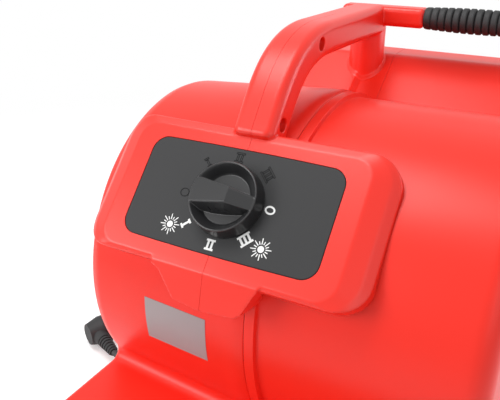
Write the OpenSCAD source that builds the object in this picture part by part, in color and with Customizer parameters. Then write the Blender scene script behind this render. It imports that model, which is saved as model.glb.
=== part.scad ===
// Centrifugal pet dryer with a two-piece drum housing, an arched carrying handle
// and a rotary heat and speed switch. Millimetres, +Z up, outlet towards -Y.

/* [Drum housing] */
// Radius of the drum at its raised ring
drum_r = 168; // [140:1:202]
// How much smaller the left drum is at its outer end, as mould draft
drum_draft = 10; // [4:1:20]
// Reach of the left drum from the handle seam
left_reach = 145; // [130:1:174]
// Reach of the right drum from the handle seam
right_reach = 215; // [206:1:258]
// How much smaller the right drum is than the ring
collar_step = 6; // [3:0.5:12]
// Distance of the shell parting line from the handle seam
parting_x = 28; // [20:1:34]
// Width of the raised ring between the two drums
ring_w = 9; // [6:0.5:14]
// Rounding of the drum ends
drum_edge = 18; // [8:1:26]
// Wall thickness of the moulded shells
wall = 3; // [2:0.5:4]

/* [Base and rear beam] */
// How far the outlet duct reaches in front of the drum
duct_out = 82; // [60:1:120]
// Height of the base with its outlet duct
duct_h = 100; // [90:1:120]
// Gap between the drum and the base floor
floor_gap = 20; // [14:1:36]
// Distance of the duct's left side from the handle seam
duct_left = 135; // [122:1:142]
// Distance of the base's right side from the handle seam
duct_right = 205; // [180:1:212]
// How far the back wall stands behind the drum
back_out = 51; // [40:1:80]
// How far the rear beam's front wall sinks into the drum
beam_sink = 16; // [8:1:20]
// Height of the rear beam above the drum
beam_rise = 5; // [2:1:16]
// How far the rear beam's left block stands forward of its right one
beam_step = 14; // [6:1:20]
// Reach of the rear beam's left block from the handle seam
beam_left = 76; // [55:1:85]
// Rounding of the rear beam's upper front edge
beam_edge = 24; // [12:1:28]
// Rounding of the rear beam's upper back edge
beam_back = 10; // [6:1:16]

/* [Control panel] */
// Height of the plate's centre above the drum
panel_lift = 8.9; // [7:0.1:13]
// Place of the plate's centre round the drum, as an angle above the level of its axis
panel_site = 38.5; // [36:0.1:41]
// Tilt of the panel from the horizontal
panel_tilt = 47.9; // [42:0.1:52]
// Length of the black control plate
plate_w = 175; // [160:1:190]
// Height of the black control plate
plate_h = 87; // [80:1:94]
// Corner radius of the control plate
plate_corner = 13; // [6:1:18]
// Thickness of the control plate
plate_t = 2.5; // [1.5:0.1:3]
// Length of the raised panel box
panel_w = 252; // [230:1:262]
// Reach of the panel box above the plate's centre
panel_up = 63; // [56:1:68]
// Reach of the panel box below the plate's centre
panel_down = 60; // [54:1:66]
// Length of the rolled bevels at the two ends of the panel box
panel_bevel = 22; // [14:1:30]
// Drop of the rolled bevels at the two ends of the panel box
panel_drop = 11; // [6:1:16]
// Corner radius of the panel box
panel_corner = 26; // [18:1:30]
// Full depth of the panel box
panel_depth = 34; // [30:1:38]

/* [Knob] */
// Radius of the knob at its skirt
knob_r = 29; // [24:0.5:32]
// Height of the knob's rim
knob_rim_h = 13; // [10:0.5:16]
// Height of the knob's bar above the plate
knob_bar_h = 22; // [18:0.5:26]
// Width of the knob's bar at its broad end
knob_bar_w = 20; // [15:0.5:23]
// Radius of the switch spindle
spindle_r = 3; // [2.5:0.5:4]

/* [Carrying handle] */
// Width of the arched handle
handle_w = 38; // [32:1:44]
// Depth of the arched handle
handle_d = 30; // [26:1:36]
// Rounding of the arch's foot where it ends on the panel
foot_round = 6; // [2:0.5:8]
// Height of the handle's crown line above the drum
handle_rise = 45; // [40:1:54]
// Distance of the posts' centres in front of the drum's back line
post_in = 10; // [2:1:14]
// Radius of the posts
post_r = 18.5; // [16:0.5:20]
// Reach of the handle's short cross arm
arm_reach = 28; // [26:1:40]
// Distance from the handle seam to the rubber grip
grip_start = 61; // [45:1:66]
// Length of the rubber grip
grip_len = 102; // [90:1:110]
// Distance between the two posts
post_gap = 184; // [178:1:186]
// Radius of the rubber grip
grip_r = 11; // [10.5:0.5:13]

/* [Fan and motor] */
// Outer radius of the impeller
fan_r = 122; // [108:1:128]
// Width of the impeller
fan_w = 92; // [75:1:98]
// Number of blades on the impeller
fan_blades = 38; // [28:1:44]
// Radius of the motor shaft
shaft_r = 5; // [4:0.5:6]
// Radius of the motor case
motor_r = 56; // [48:1:60]
// Length of the motor case
motor_len = 92; // [80:1:96]
// Radius of the left air intake
intake_r = 92; // [80:1:100]
// Radius of the right air intake
right_intake_r = 70; // [60:1:80]

/* [Feet and cord] */
// Height of the rubber feet below the base
foot_h = 8; // [5:1:12]
// Radius of the rubber feet
foot_r = 15; // [12:1:18]
// Diameter of the mains cord
cord_d = 8; // [7:0.5:9]

/* [Hidden] */

$fn = 96;
eps = 0.5;
far = 600;
red = [0.93, 0.22, 0.17];
black = [0.13, 0.13, 0.14];
rubber = [0.09, 0.09, 0.10];
steel = [0.72, 0.73, 0.75];
silver = [0.78, 0.76, 0.76];
copper = [0.72, 0.45, 0.26];
ceramic = [0.90, 0.87, 0.80];

// Heights and reaches from the drum axis that follow from the sizes above
drum_left_r = drum_r - drum_draft;
collar_r = drum_r - collar_step;
duct_reach = drum_r + duct_out;
back_reach = drum_r + back_out;
base_floor = drum_r + floor_gap;
duct_roof = base_floor - duct_h;
beam_front = drum_r - beam_sink;
beam_top = drum_r + beam_rise;
panel_y = (drum_r + panel_lift) * cos(panel_site);
panel_z = (drum_r + panel_lift) * sin(panel_site);
handle_crown = drum_r + handle_rise;
post_y = drum_r - post_in;

// The row frame stands at the middle of the base, under the feet
mid_x = (right_reach - left_reach) / 2;
mid_y = (back_reach - duct_reach) / 2;
axis_h = base_floor + foot_h;
module place() translate([-mid_x, -mid_y, axis_h]) children();

// Round pieces on the drum axis: local Z runs along +X from x
module on_axis(x) translate([x, 0, 0]) rotate([0, 90, 0]) children();

// Pieces on the panel: local X along it, Y up the slope, Z out of its face
module on_panel() translate([0, -panel_y, panel_z]) rotate([panel_tilt, 0, 0]) children();

// An outline in the Y-Z plane carried along +X from x0 to x1
module along_x(x0, x1) translate([x0, 0, 0]) rotate([90, 0, 90]) linear_extrude(x1 - x0) children();

module rounded_rect(w, h, r) {
    square([w - 2 * r, h], center = true);
    square([w, h - 2 * r], center = true);
    for (sx = [-1, 1], sy = [-1, 1]) translate([sx * (w / 2 - r), sy * (h / 2 - r)]) circle(r);
}

// ---- Body form, shared by the shells and by everything that seats on them ----

ring_end = parting_x + ring_w;

module left_drum(g) on_axis(0) rotate_extrude() {
    polygon([
        [0, g - left_reach], [drum_left_r - drum_edge, g - left_reach],
        [drum_left_r - g, drum_edge - left_reach], [drum_r - g, parting_x], [0, parting_x]
    ]);
    translate([drum_left_r - drum_edge, drum_edge - left_reach]) intersection() {
        circle(drum_edge - g);
        square(2 * drum_edge, center = true);
    }
}

module right_drum(g) on_axis(0) rotate_extrude() {
    translate([0, parting_x]) square([collar_r - g, right_reach - drum_edge - parting_x]);
    translate([0, parting_x]) square([collar_r - drum_edge, right_reach - g - parting_x]);
    translate([collar_r - drum_edge, right_reach - drum_edge]) circle(drum_edge - g);
    translate([0, parting_x]) square([drum_r - g, ring_w - g / 2]);
}

module base_block(g) {
    base_w = duct_right + duct_left - 2 * g;
    base_l = duct_reach + back_reach - 2 * g;
    translate([(duct_right - duct_left) / 2, mid_y, g - base_floor])
        linear_extrude(base_floor - duct_roof - 2 * g)
            rounded_rect(base_w, base_l, base_corner - g);
}

base_corner = 12;

module beam_outline(front, g) {
    low = g - base_floor + base_corner;
    front_c = front + beam_edge;
    back_c = back_reach - beam_back;
    translate([front + g, low]) square([back_c - front - g, beam_top - beam_edge - low]);
    translate([front_c, low]) square([back_reach - g - front_c, beam_top - beam_back - low]);
    translate([front_c, low]) square([back_c - front_c, beam_top - g - low]);
    translate([front_c, beam_top - beam_edge]) circle(beam_edge - g);
    translate([back_c, beam_top - beam_back]) circle(beam_back - g);
}

module rear_beam(g) {
    along_x(g - beam_left, beam_joint - g) beam_outline(beam_front - beam_step, g);
    along_x(beam_joint - joint_lap, duct_right - g) beam_outline(beam_front, g);
}

beam_joint = -3;
joint_lap = 9;

module body_form(g) {
    left_drum(g);
    right_drum(g);
    base_block(g);
    rear_beam(g);
}

// Screw bosses inside the housing, as places in the Y-Z plane
boss_r = 7;
boss_hole = 2;
driver_r = 4.6;
boss_low = -base_floor + wall + boss_r - 1;
boss_back = back_reach - wall - boss_r + 1;
boss_sites = [[boss_back, boss_low], [boss_back, beam_top - beam_edge - boss_r], [-40, boss_low]];
boss_seat = 14;

module boss_rods(r, x0, x1) for (s = boss_sites) translate([x0, s[0], s[1]]) rotate([0, 90, 0])
    cylinder(r = r, h = x1 - x0);

// The duct's mouth, and the way into the housing for switch, cord and air
mouth_lip = 16;
bay_w = 50;
bay_h = 48;
bay_depth = 90;
module mouth_cut() translate([wall - duct_left, -duct_reach - eps, wall - base_floor])
    cube([duct_right + duct_left - 2 * wall, 2 * base_corner, base_floor - duct_roof - 2 * wall]);
module switch_bay() on_panel() translate([-bay_w / 2, -bay_h / 2, -bay_depth])
    cube([bay_w, bay_h, bay_depth]);

cord_x = -96;
cord_z = 28 - base_floor;
gland_r = 9;

module left_shell() color(red) place() {
    difference() {
        intersection() {
            body_form(0);
            translate([-far, -far, -far]) cube([far + parting_x, 2 * far, 2 * far]);
        }
        body_form(wall);
        mouth_cut();
        switch_bay();
        on_axis(-left_reach - eps) cylinder(r = intake_r, h = 2 * wall + eps);
        on_axis(-left_reach - eps) cylinder(r = intake_r + grille_rim, h = grille_t + eps);
        translate([cord_x, back_reach - wall - eps, cord_z]) rotate([-90, 0, 0])
            cylinder(r = gland_r, h = wall + 2 * eps);
    }
    difference() {
        intersection() {
            boss_rods(boss_r, parting_x - boss_seat, parting_x);
            body_form(wall / 2);
        }
        boss_rods(boss_hole, parting_x - boss_seat + 2, parting_x + eps);
    }
}

module right_shell() color(red) place() {
    difference() {
        intersection() {
            body_form(0);
            translate([parting_x, -far, -far]) cube([far, 2 * far, 2 * far]);
        }
        body_form(wall);
        mouth_cut();
        switch_bay();
        on_axis(right_reach - 2 * wall) cylinder(r = right_intake_r, h = 2 * wall + eps);
        on_axis(right_reach - grille_t) cylinder(r = right_intake_r + grille_rim, h = grille_t + eps);
        boss_rods(driver_r, parting_x + boss_seat, far);
        post_seat_cut();
    }
    difference() {
        intersection() {
            boss_rods(boss_r, parting_x, duct_right - wall / 2);
            body_form(wall / 2);
        }
        boss_rods(boss_hole + 0.3, parting_x - eps, parting_x + boss_seat + eps);
        boss_rods(driver_r, parting_x + boss_seat, far);
    }
}

// ---- Intake and outlet grilles ----

grille_rim = 6;
grille_t = 2.5;
grille_bar = 2.4;

module grille_spokes(r) for (a = [0:45:359]) rotate(a) translate([r / 2, 0])
    square([r, grille_bar], center = true);

module round_grille(r, hub) linear_extrude(grille_t) difference() {
    rings = floor((r - hub - 8) / 11);
    pitch = (r - 4 - hub) / (rings + 1);
    circle(r + grille_rim - 0.3);
    for (i = [0:rings]) difference() {
        circle(hub + (i + 1) * pitch - (i < rings ? grille_bar / 2 : 0));
        circle(hub + i * pitch + (i > 0 ? grille_bar / 2 : 0));
        grille_spokes(r + grille_rim);
    }
}

module left_intake_grille() color(black) place()
    on_axis(-left_reach) round_grille(intake_r, 16);

module right_intake_grille() color(black) place()
    on_axis(right_reach - grille_t) round_grille(right_intake_r, 14);

// Upright slats in a frame that slides into the duct's mouth
slat_pitch = 16;
module outlet_grille() color(black) place() {
    mouth_w = duct_right + duct_left - 2 * wall;
    mouth_h = base_floor - duct_roof - 2 * wall;
    slats = floor((mouth_w - slat_pitch) / slat_pitch);
    translate([wall - duct_left, -duct_reach + 3, wall - base_floor]) {
        difference() {
            cube([mouth_w, mouth_lip, mouth_h]);
            translate([4, -eps, 4]) cube([mouth_w - 8, mouth_lip + 2 * eps, mouth_h - 8]);
        }
        for (i = [1:slats]) translate([i * mouth_w / (slats + 1) - 1.2, 2, 3])
            cube([2.4, mouth_lip - 4, mouth_h - 6]);
        for (z = [mouth_h / 3, 2 * mouth_h / 3]) translate([3, mouth_lip / 2 - 1, z - 1.2])
            cube([mouth_w - 6, 2.4, 2.4]);
    }
}

// ---- Control panel, apron and handle: two mirrored mouldings ----

plate_gap = 0.4;

// One ring of the box: a rounded rectangle, drawn in from the rim, at height n
ring_steps = 6;
function box_ring(in_x, in_v, r, n) = let (
    hx = panel_w / 2 - in_x - r,
    top = panel_up - in_v - r,
    low = in_v + r - panel_down,
    spots = [[hx, top, 0], [-hx, top, 90], [-hx, low, 180], [hx, low, 270]]
) [for (c = spots, i = [0:ring_steps]) let (a = c[2] + 90 * i / ring_steps)
    [c[0] + r * cos(a), c[1] + r * sin(a), n]];

// The rim rolls over to the face along a quarter wave
box_rolls = 6;
face_edge = 6;
function roll_in(k) = 1 - cos(90 * k / box_rolls);
function roll_up(k) = sin(90 * k / box_rolls) - 1;
box_rings = concat(
    [box_ring(0, 0, panel_corner, -panel_depth)],
    [for (k = [0:box_rolls]) box_ring(
        panel_bevel * roll_in(k), face_edge * roll_in(k),
        panel_corner - 10 * roll_in(k), panel_drop * roll_up(k)
    )]
);

module loft(rings) {
    m = len(rings[0]);
    n = len(rings);
    sides = [
        for (i = [0:n - 2], j = [0:m - 1]) let (k = (j + 1) % m, a = i * m, b = a + m)
            each [[a + j, b + k, a + k], [a + j, b + j, b + k]]
    ];
    polyhedron([for (r = rings) each r], concat(
        sides,
        [[for (j = [0:m - 1]) j]],
        [[for (j = [m - 1:-1:0]) (n - 1) * m + j]]
    ), convexity = 6);
}

module panel_box() on_panel() loft(box_rings);

// Right of the ring the box is a thin overhang
overhang = 21;
module overhang_cut() on_panel() translate([ring_end + 3, -2 * panel_down, -3 * panel_depth - overhang])
    cube([panel_w, 4 * panel_down, 3 * panel_depth]);

// The apron's leaning front: X along the drum, Y up its slope from the top front corner
apron_lean = 13.4;
apron_y = panel_y + 39.4;
apron_z = panel_z - 42.1;
apron_depth = 40;
apron_outline = [
    [-49, 14], [-49, -6], [-42, -9], [-26, -30], [0, -33.5], [31, -30], [36, -26], [51, 3], [51, 14]
];
face_step = 0.05;
module apron() intersection() {
    translate([0, -apron_y, apron_z]) rotate([90 - apron_lean, 0, 0])
        translate([0, 0, -apron_depth]) linear_extrude(apron_depth) polygon(apron_outline);
    on_panel() translate([-panel_w, -panel_w, -panel_w - face_step]) cube([2 * panel_w, 2 * panel_w, panel_w]);
}

// A place in the Y-Z plane, V up the panel's slope and N out of its face
function on_slope(v, n) = [
    v * cos(panel_tilt) - n * sin(panel_tilt) - panel_y,
    v * sin(panel_tilt) + n * cos(panel_tilt) + panel_z
];

// Centre line of the arch in the Y-Z plane: its foot lies along the panel, then one
// cubic curve climbs to the crown, then a straight run
foot_start = 56;
foot_deep = 9;
arch = [
    on_slope(foot_start + foot_round, -foot_deep), on_slope(98, -7.6),
    [-52, handle_crown + 3], [18, handle_crown + 1]
];
arch_end = [post_y, handle_crown - 1];
arch_steps = 26;
toe_steps = 4;
function bezier(p, t) = pow(1 - t, 3) * p[0] + 3 * t * pow(1 - t, 2) * p[1]
    + 3 * t * t * (1 - t) * p[2] + t * t * t * p[3];
arch_path = concat(
    [for (i = [0:toe_steps - 1])
        on_slope(foot_start + foot_round * (1 - cos(90 * i / toe_steps)), -foot_deep)],
    [for (i = [0:arch_steps]) bezier(arch, i / arch_steps)],
    [for (i = [1:4]) arch[3] + (arch_end - arch[3]) * i / 4]
);
function heading(p, i) = let (
    d = p[min(i + 1, len(p) - 1)] - p[max(i - 1, 0)]
) d / norm(d);

// Half a rounded section: x out from the seam, then across the arch
arch_round = 8;
function corner(cx, cy, r, a0, a1, n) = [
    for (i = [0:n]) let (a = a0 + (a1 - a0) * i / n) [cx + r * cos(a), cy + r * sin(a)]
];
half_section = concat(
    [[0, -handle_d / 2]],
    corner(handle_w / 2 - arch_round, arch_round - handle_d / 2, arch_round, -90, 0, 6),
    corner(handle_w / 2 - arch_round, handle_d / 2 - arch_round, arch_round, 0, 90, 6),
    [[0, handle_d / 2]]
);

// The foot's end is rounded: its first sections are drawn in along a quarter circle
function toe(i) = i < toe_steps ? foot_round * (1 - sin(90 * i / toe_steps)) : 0;
function arch_point(p, t, s) = [s[0], p[0] - s[1] * t[1], p[1] + s[1] * t[0]];

module arch_half() loft([
    for (i = [len(arch_path) - 1:-1:0]) let (p = arch_path[i], t = heading(arch_path, i))
        [for (s = half_section) arch_point(p, t, s - toe(i) * s / norm(s))]
]);

arm_h = 20;
arm_d = 22;
arm_round = 5;
arm_bevel = 2.5;
arm_z = handle_crown + 3;
post_flare = 5;

// A flat-faced arm between x0 and x1, bevelled at its ends
module bevelled(x0, x1, w) polygon([
    [x0, arm_bevel - w / 2], [x0 + arm_bevel, -w / 2], [x1 - arm_bevel, -w / 2],
    [x1, arm_bevel - w / 2], [x1, w / 2 - arm_bevel], [x1 - arm_bevel, w / 2],
    [x0 + arm_bevel, w / 2], [x0, w / 2 - arm_bevel]
]);

module cross_arm(x0, x1) translate([0, post_y, arm_z]) intersection() {
    along_x(x0, x1) rounded_rect(arm_d, arm_h, arm_round);
    linear_extrude(2 * arm_h, center = true) bevelled(x0, x1, arm_d);
    rotate([90, 0, 0]) linear_extrude(2 * arm_d, center = true) bevelled(x0, x1, arm_h);
}

module post() {
    intersection() {
        translate([0, post_y, 0]) cylinder(r = post_r, h = arm_z);
        along_x(-far, far) polygon(concat(post_ramp, [[far, far], [post_y - far, far]]));
    }
    translate([0, post_y, arm_z]) cylinder(r1 = post_r, r2 = post_r - 6, h = arm_h / 2);
}

// The post's foot climbs with the beam's rounded front, then runs level on its top
ramp_front = post_y - 24;
ramp_back = post_y + 10;
ramp_low = beam_top - 27;
post_ramp = [[ramp_front, ramp_low], [ramp_back, beam_top - 2], [far, beam_top - 2]];

// Thin flared ring round the foot
module post_collar() intersection() {
    translate([0, post_y, 0]) cylinder(r = post_r + post_flare / 2, h = arm_z);
    along_x(-far, far) polygon([
        [ramp_front, ramp_low - 4], [ramp_front, ramp_low + 1.5], [ramp_back, beam_top + 1.5],
        [far, beam_top + 1.5], [far, beam_top - 6], [ramp_back, beam_top - 6]
    ]);
}

tube_r = 8;
screw_sites = [on_slope(74, -7), [-12, handle_crown]];
bore_r = 6;
bore_floor = 9;

module handle_form() {
    panel_box();
    apron();
    arch_half();
    mirror([1, 0, 0]) arch_half();
    cross_arm(-arm_reach, grip_start);
    post();
    post_collar();
}

module handle_half(side) difference() {
    intersection() {
        handle_form();
        translate([side > 0 ? 0 : -far, -far, -far]) cube([far, 2 * far, 2 * far]);
    }
    left_drum(0);
    right_drum(0);
    rear_beam(0);
    on_axis(ring_end) cylinder(r = collar_r + 1, h = far);
    overhang_cut();
    on_panel() translate([0, 0, -plate_t]) linear_extrude(2 * plate_t)
        rounded_rect(plate_w + 2 * plate_gap, plate_h + 2 * plate_gap, plate_corner + plate_gap);
    on_panel() translate([-bay_w / 2 - 20, -bay_h / 2, -panel_depth - eps])
        cube([bay_w + 40, bay_h, panel_depth]);
    for (s = screw_sites) translate([0, s[0], s[1]]) rotate([0, 90, 0]) {
        translate([0, 0, bore_floor]) cylinder(r = bore_r, h = far);
        translate([0, 0, -12]) cylinder(r = 2, h = far);
    }
    translate([tube_start, post_y, arm_z]) rotate([0, 90, 0]) cylinder(r = tube_r, h = far);
}

module handle_left() color(red) place() handle_half(-1);
module handle_right() color(red) place() handle_half(1);

module handle_screws() color(steel) place() for (s = screw_sites) translate([0, s[0], s[1]])
    rotate([0, 90, 0]) {
        translate([0, 0, -11]) cylinder(r = 1.9, h = bore_floor + 11);
        translate([0, 0, bore_floor]) difference() {
            cylinder(r = 4, h = 3);
            translate([0, 0, 1.4]) linear_extrude(2) union() {
                square([5, 1], center = true);
                square([1, 5], center = true);
            }
        }
    }

// ---- Cross grip between the two posts ----

tube_start = 24;
tube_end = post_gap + 4;
module grip_tube() color(steel) place() translate([tube_start, post_y, arm_z]) rotate([0, 90, 0])
    cylinder(r = tube_r, h = tube_end - tube_start);

// Ribbed sleeve, a little fuller in its middle
grip_ribs = 14;
grip_swell = 1.6;
module grip_sleeve() color(rubber) place() translate([grip_start, post_y, arm_z]) rotate([0, 90, 0]) {
    pitch = grip_len / grip_ribs;
    rotate_extrude() {
        translate([tube_r, 0]) square([grip_r - 0.8 - tube_r, grip_len]);
        for (i = [0:grip_ribs - 1]) translate([tube_r, i * pitch + pitch * 0.15])
            square([grip_r - tube_r + grip_swell * sin(180 * (i + 0.5) / grip_ribs), pitch * 0.7]);
    }
}

module right_post_form() {
    translate([post_gap, 0, 0]) {
        post();
        post_collar();
    }
    cross_arm(grip_start + grip_len, post_gap + 14);
}

post_screw_dx = 9;
post_screw_dy = 11;
module at_post_screws() for (side = [-1, 1])
    translate([post_gap + side * post_screw_dx, post_y + post_screw_dy, 0]) children();
module post_seat_cut() at_post_screws() {
    translate([0, 0, beam_top - 2 * wall]) cylinder(r = 2.2, h = far);
    translate([0, 0, beam_top - wall - 8]) cylinder(r = 4.4, h = 8);
}

module right_post() color(red) place() difference() {
    right_post_form();
    rear_beam(0);
    translate([0, post_y, arm_z]) rotate([0, 90, 0]) cylinder(r = tube_r, h = tube_end);
    at_post_screws() translate([0, 0, beam_top - 10]) cylinder(r = 1.9, h = 24);
}

module post_screws() color(steel) place() at_post_screws() {
    translate([0, 0, beam_top - wall - 2.5]) cylinder(r = 4, h = 2.5);
    translate([0, 0, beam_top - wall - 1]) cylinder(r = 1.9, h = wall + 13);
}

// ---- Control plate, switch and knob ----

bush_r = 5;
bush_up = 4;
module control_plate() color(black) place() on_panel() difference() {
    translate([0, 0, -plate_t]) linear_extrude(plate_t) rounded_rect(plate_w, plate_h, plate_corner);
    translate([0, 0, -plate_t - eps]) cylinder(r = bush_r + 0.2, h = plate_t + 2 * eps);
}

switch_w = 34;
switch_t = 24;
spindle_up = 11.5;
module rotary_switch() color([0.25, 0.25, 0.26]) place() on_panel() difference() {
    union() {
        translate([-switch_w / 2, -switch_w / 2, -plate_t - switch_t]) cube([switch_w, switch_w, switch_t]);
        translate([0, 0, -plate_t - 1]) cylinder(r = bush_r, h = plate_t + 1 + bush_up);
        for (a = [0:60:359]) rotate(a) translate([11, -2, -plate_t - switch_t - 6]) cube([1, 4, 7]);
    }
    translate([0, 0, spindle_low - eps]) cylinder(r = spindle_r + 0.05, h = far);
}

module switch_nut() color(steel) place() on_panel() difference() {
    cylinder(r = 8.6, h = 3, $fn = 6);
    translate([0, 0, -eps]) cylinder(r = bush_r, h = 4);
}

spindle_sunk = 5.5;
spindle_low = spindle_sunk - plate_t - switch_t;
module switch_spindle() color(steel) place() on_panel()
    translate([0, 0, spindle_low]) cylinder(r = spindle_r, h = spindle_up - spindle_low);

knob_lift = 0.7;
knob_draft = 2.5;
knob_well = 7;
bar_off = 2;
bar_reach = knob_r - 1.2;
roof_fall = 7;

// The bar from above: a broad round end on the left and a blunt pointer on the right
bar_taper = 4;
bar_shoulder = 0.6 * bar_reach;
bar_tip = 4;
module bar_plan() polygon([
    [-bar_reach, bar_off - knob_bar_w], [bar_shoulder, bar_off - knob_bar_w / 2],
    [bar_reach + 2, bar_off - bar_tip], [bar_reach + 2, bar_off + bar_tip],
    [bar_shoulder, bar_off + knob_bar_w / 2], [-bar_reach, bar_off + knob_bar_w]
]);

// The bar from the side: a ridge in its middle third, a low nose at each end
module bar_roof() polygon([
    [-bar_reach - 1, 3], [bar_reach + 3, 3], [bar_reach + 3, knob_bar_h - roof_fall - 1],
    [bar_reach - 5, knob_bar_h - roof_fall + 1], [4, knob_bar_h - 0.3], [1, knob_bar_h],
    [-bar_reach * 0.6, knob_bar_h - 1.2], [-bar_reach + 2.5, knob_bar_h - 3.4],
    [-bar_reach - 1, knob_bar_h - roof_fall - 1]
]);

// One flank of the bar, drawn in towards the pointer, with a chamfer along its top
bar_chamfer = 3;
module bar_flank(side) translate([-bar_reach, bar_off + side * knob_bar_w / 2, 0])
    rotate(-side * bar_taper) along_x(-knob_r, 3 * knob_r) polygon([
        [-2 * side * knob_r, 0], [0, 0], [0, knob_bar_h - 5],
        [-side * bar_chamfer, knob_bar_h + 1], [-2 * side * knob_r, knob_bar_h + 1]
    ]);

module knob_bar() intersection() {
    linear_extrude(knob_bar_h) bar_plan();
    translate([0, knob_r, 0]) rotate([90, 0, 0]) linear_extrude(2 * knob_r) bar_roof();
    bar_flank(-1);
    bar_flank(1);
    cylinder(r1 = knob_r, r2 = knob_r - knob_draft * 1.6, h = knob_bar_h + 1);
}

slot_pitch = 5.5;
module knob() color(black) place() on_panel() translate([0, 0, knob_lift]) difference() {
    union() {
        difference() {
            cylinder(r1 = knob_r, r2 = knob_r - knob_draft, h = knob_rim_h);
            translate([0, 0, knob_rim_h - knob_well])
                cylinder(r1 = knob_r - 9, r2 = knob_r - 4.5, h = knob_well + eps);
        }
        knob_bar();
    }
    translate([0, 0, -eps]) cylinder(r = 10.5, h = 3.6 + eps);
    translate([0, 0, -eps]) cylinder(r = bush_r + 0.4, h = 4.6 + eps);
    translate([0, 0, -eps]) cylinder(r = spindle_r, h = spindle_up - knob_lift + eps + 0.2);
    translate([-bar_reach, bar_off - knob_bar_w / 2, 0]) rotate(bar_taper)
        for (i = [-1:1]) translate([bar_reach + i * slot_pitch - 2.5, 0, 10]) rotate([0, -28, 0])
            cube([1.2, 2.4, 9], center = true);
}

// ---- Bare rating label on the front of the left drum ----

label_left = -73;
label_right = -8;
label_top = 13;
label_low = -29.5;
label_t = 0.4;
module label() color(silver) place() intersection() {
    difference() {
        left_drum(-label_t);
        left_drum(0);
    }
    translate([label_left, -far, label_low]) cube([label_right - label_left, far, label_top - label_low]);
}

// ---- Fan on the motor shaft ----

fan_x = -112;
blade_in = 0.83;
module blade_2d() {
    steps = 5;
    outer = [for (i = [0:steps]) let (t = i / steps, r = fan_r * (blade_in + (1 - blade_in) * t) - 1)
        [r * cos(12 * t * t), r * sin(12 * t * t)]];
    inner = [for (i = [steps:-1:0]) let (t = i / steps, r = fan_r * (blade_in + (1 - blade_in) * t) - 1)
        [r * cos(12 * t * t + 0.9), r * sin(12 * t * t + 0.9)]];
    polygon(concat(outer, inner));
}

module impeller() color([0.16, 0.16, 0.17]) place() on_axis(fan_x) {
    for (i = [0:fan_blades - 1]) rotate(i * 360 / fan_blades) translate([0, 0, 2])
        linear_extrude(fan_w - 4) blade_2d();
    difference() {
        cylinder(r = fan_r, h = 3);
        translate([0, 0, -eps]) cylinder(r = fan_r * blade_in - 3, h = 4);
    }
    translate([0, 0, fan_w - 3]) difference() {
        cylinder(r = fan_r, h = 3);
        translate([0, 0, -eps]) cylinder(r = hub_r, h = 4);
    }
    translate([0, 0, fan_w - 22]) difference() {
        cylinder(r1 = hub_r + 3, r2 = hub_r + 14, h = 20);
        translate([0, 0, -eps]) cylinder(r = hub_r, h = 21);
    }
}

hub_r = 14;
module impeller_hub() color(steel) place() on_axis(fan_x + fan_w - 26) difference() {
    union() {
        cylinder(r = hub_r, h = 26);
        translate([0, 0, -3]) cylinder(r = hub_r + 2, h = 3 + eps);
    }
    translate([0, 0, -4]) cylinder(r = shaft_r, h = 32);
}

motor_x = 14;
shaft_left = -52;
shaft_right = motor_x + motor_len - 3;
module motor_shaft() color(steel) place() on_axis(shaft_left)
    cylinder(r = shaft_r, h = shaft_right - shaft_left);

rotor_r = 30;
rotor_gap = 0.6;
core_len = 46;
core_x = motor_x + (motor_len - core_len) / 2;
module motor_rotor() color([0.5, 0.5, 0.52]) place() on_axis(core_x) difference() {
    cylinder(r = rotor_r, h = core_len);
    translate([0, 0, -eps]) cylinder(r = shaft_r, h = core_len + 1);
}

case_wall = 3;
fin_h = 3;
module motor_stator() color(copper) place() {
    on_axis(core_x) difference() {
        cylinder(r = motor_r - case_wall, h = core_len);
        translate([0, 0, -eps]) cylinder(r = rotor_r + rotor_gap, h = core_len + 1);
        for (a = [0:30:359]) rotate(a) translate([rotor_r + 8, 0, -eps])
            cylinder(r = 4, h = core_len + 1);
    }
    on_axis(core_x - 9) difference() {
        cylinder(r = motor_r - case_wall - 5, h = core_len + 18);
        translate([0, 0, -eps]) cylinder(r = rotor_r + 5, h = core_len + 20);
    }
}

bearing_r = 13;
bearing_w = 9;
module motor_case() color([0.6, 0.61, 0.63]) place() on_axis(motor_x) difference() {
    union() {
        cylinder(r = motor_r, h = motor_len);
        translate([0, 0, -2]) cylinder(r = bearing_r + 4, h = 3);
        for (a = [0:15:359]) rotate(a) translate([motor_r - 1, -1, 16])
            cube([fin_h + 1, 2, motor_len - 32]);
    }
    translate([0, 0, case_wall]) difference() {
        cylinder(r = motor_r - case_wall, h = motor_len - 2 * case_wall);
        translate([0, 0, -eps]) cylinder(r = bearing_r + 3, h = bearing_w - case_wall + 1 + eps);
        translate([0, 0, motor_len - 2 * case_wall - bearing_w + 2])
            cylinder(r = bearing_r + 3, h = bearing_w);
    }
    translate([0, 0, -2 - eps]) cylinder(r = shaft_r + 1, h = motor_len - 5);
    translate([0, 0, 1]) cylinder(r = bearing_r, h = bearing_w + 3);
    translate([0, 0, motor_len - bearing_w - 3]) cylinder(r = bearing_r, h = bearing_w);
    for (a = [0:45:359]) rotate(a) translate([34, 0, -eps]) cylinder(r = 5, h = motor_len + 1);
}

shaft_run = 0.05;
module bearing() difference() {
    cylinder(r = bearing_r, h = bearing_w);
    translate([0, 0, -eps]) cylinder(r = shaft_r + shaft_run, h = bearing_w + 1);
    for (z = [-eps, bearing_w - 1]) translate([0, 0, z]) difference() {
        cylinder(r = bearing_r - 2.5, h = 1 + eps);
        translate([0, 0, -eps]) cylinder(r = shaft_r + 2.5, h = 2 + 2 * eps);
    }
}
module motor_bearings() color(steel) place() {
    on_axis(motor_x + 1) bearing();
    on_axis(motor_x + motor_len - bearing_w - 3) bearing();
}

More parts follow.
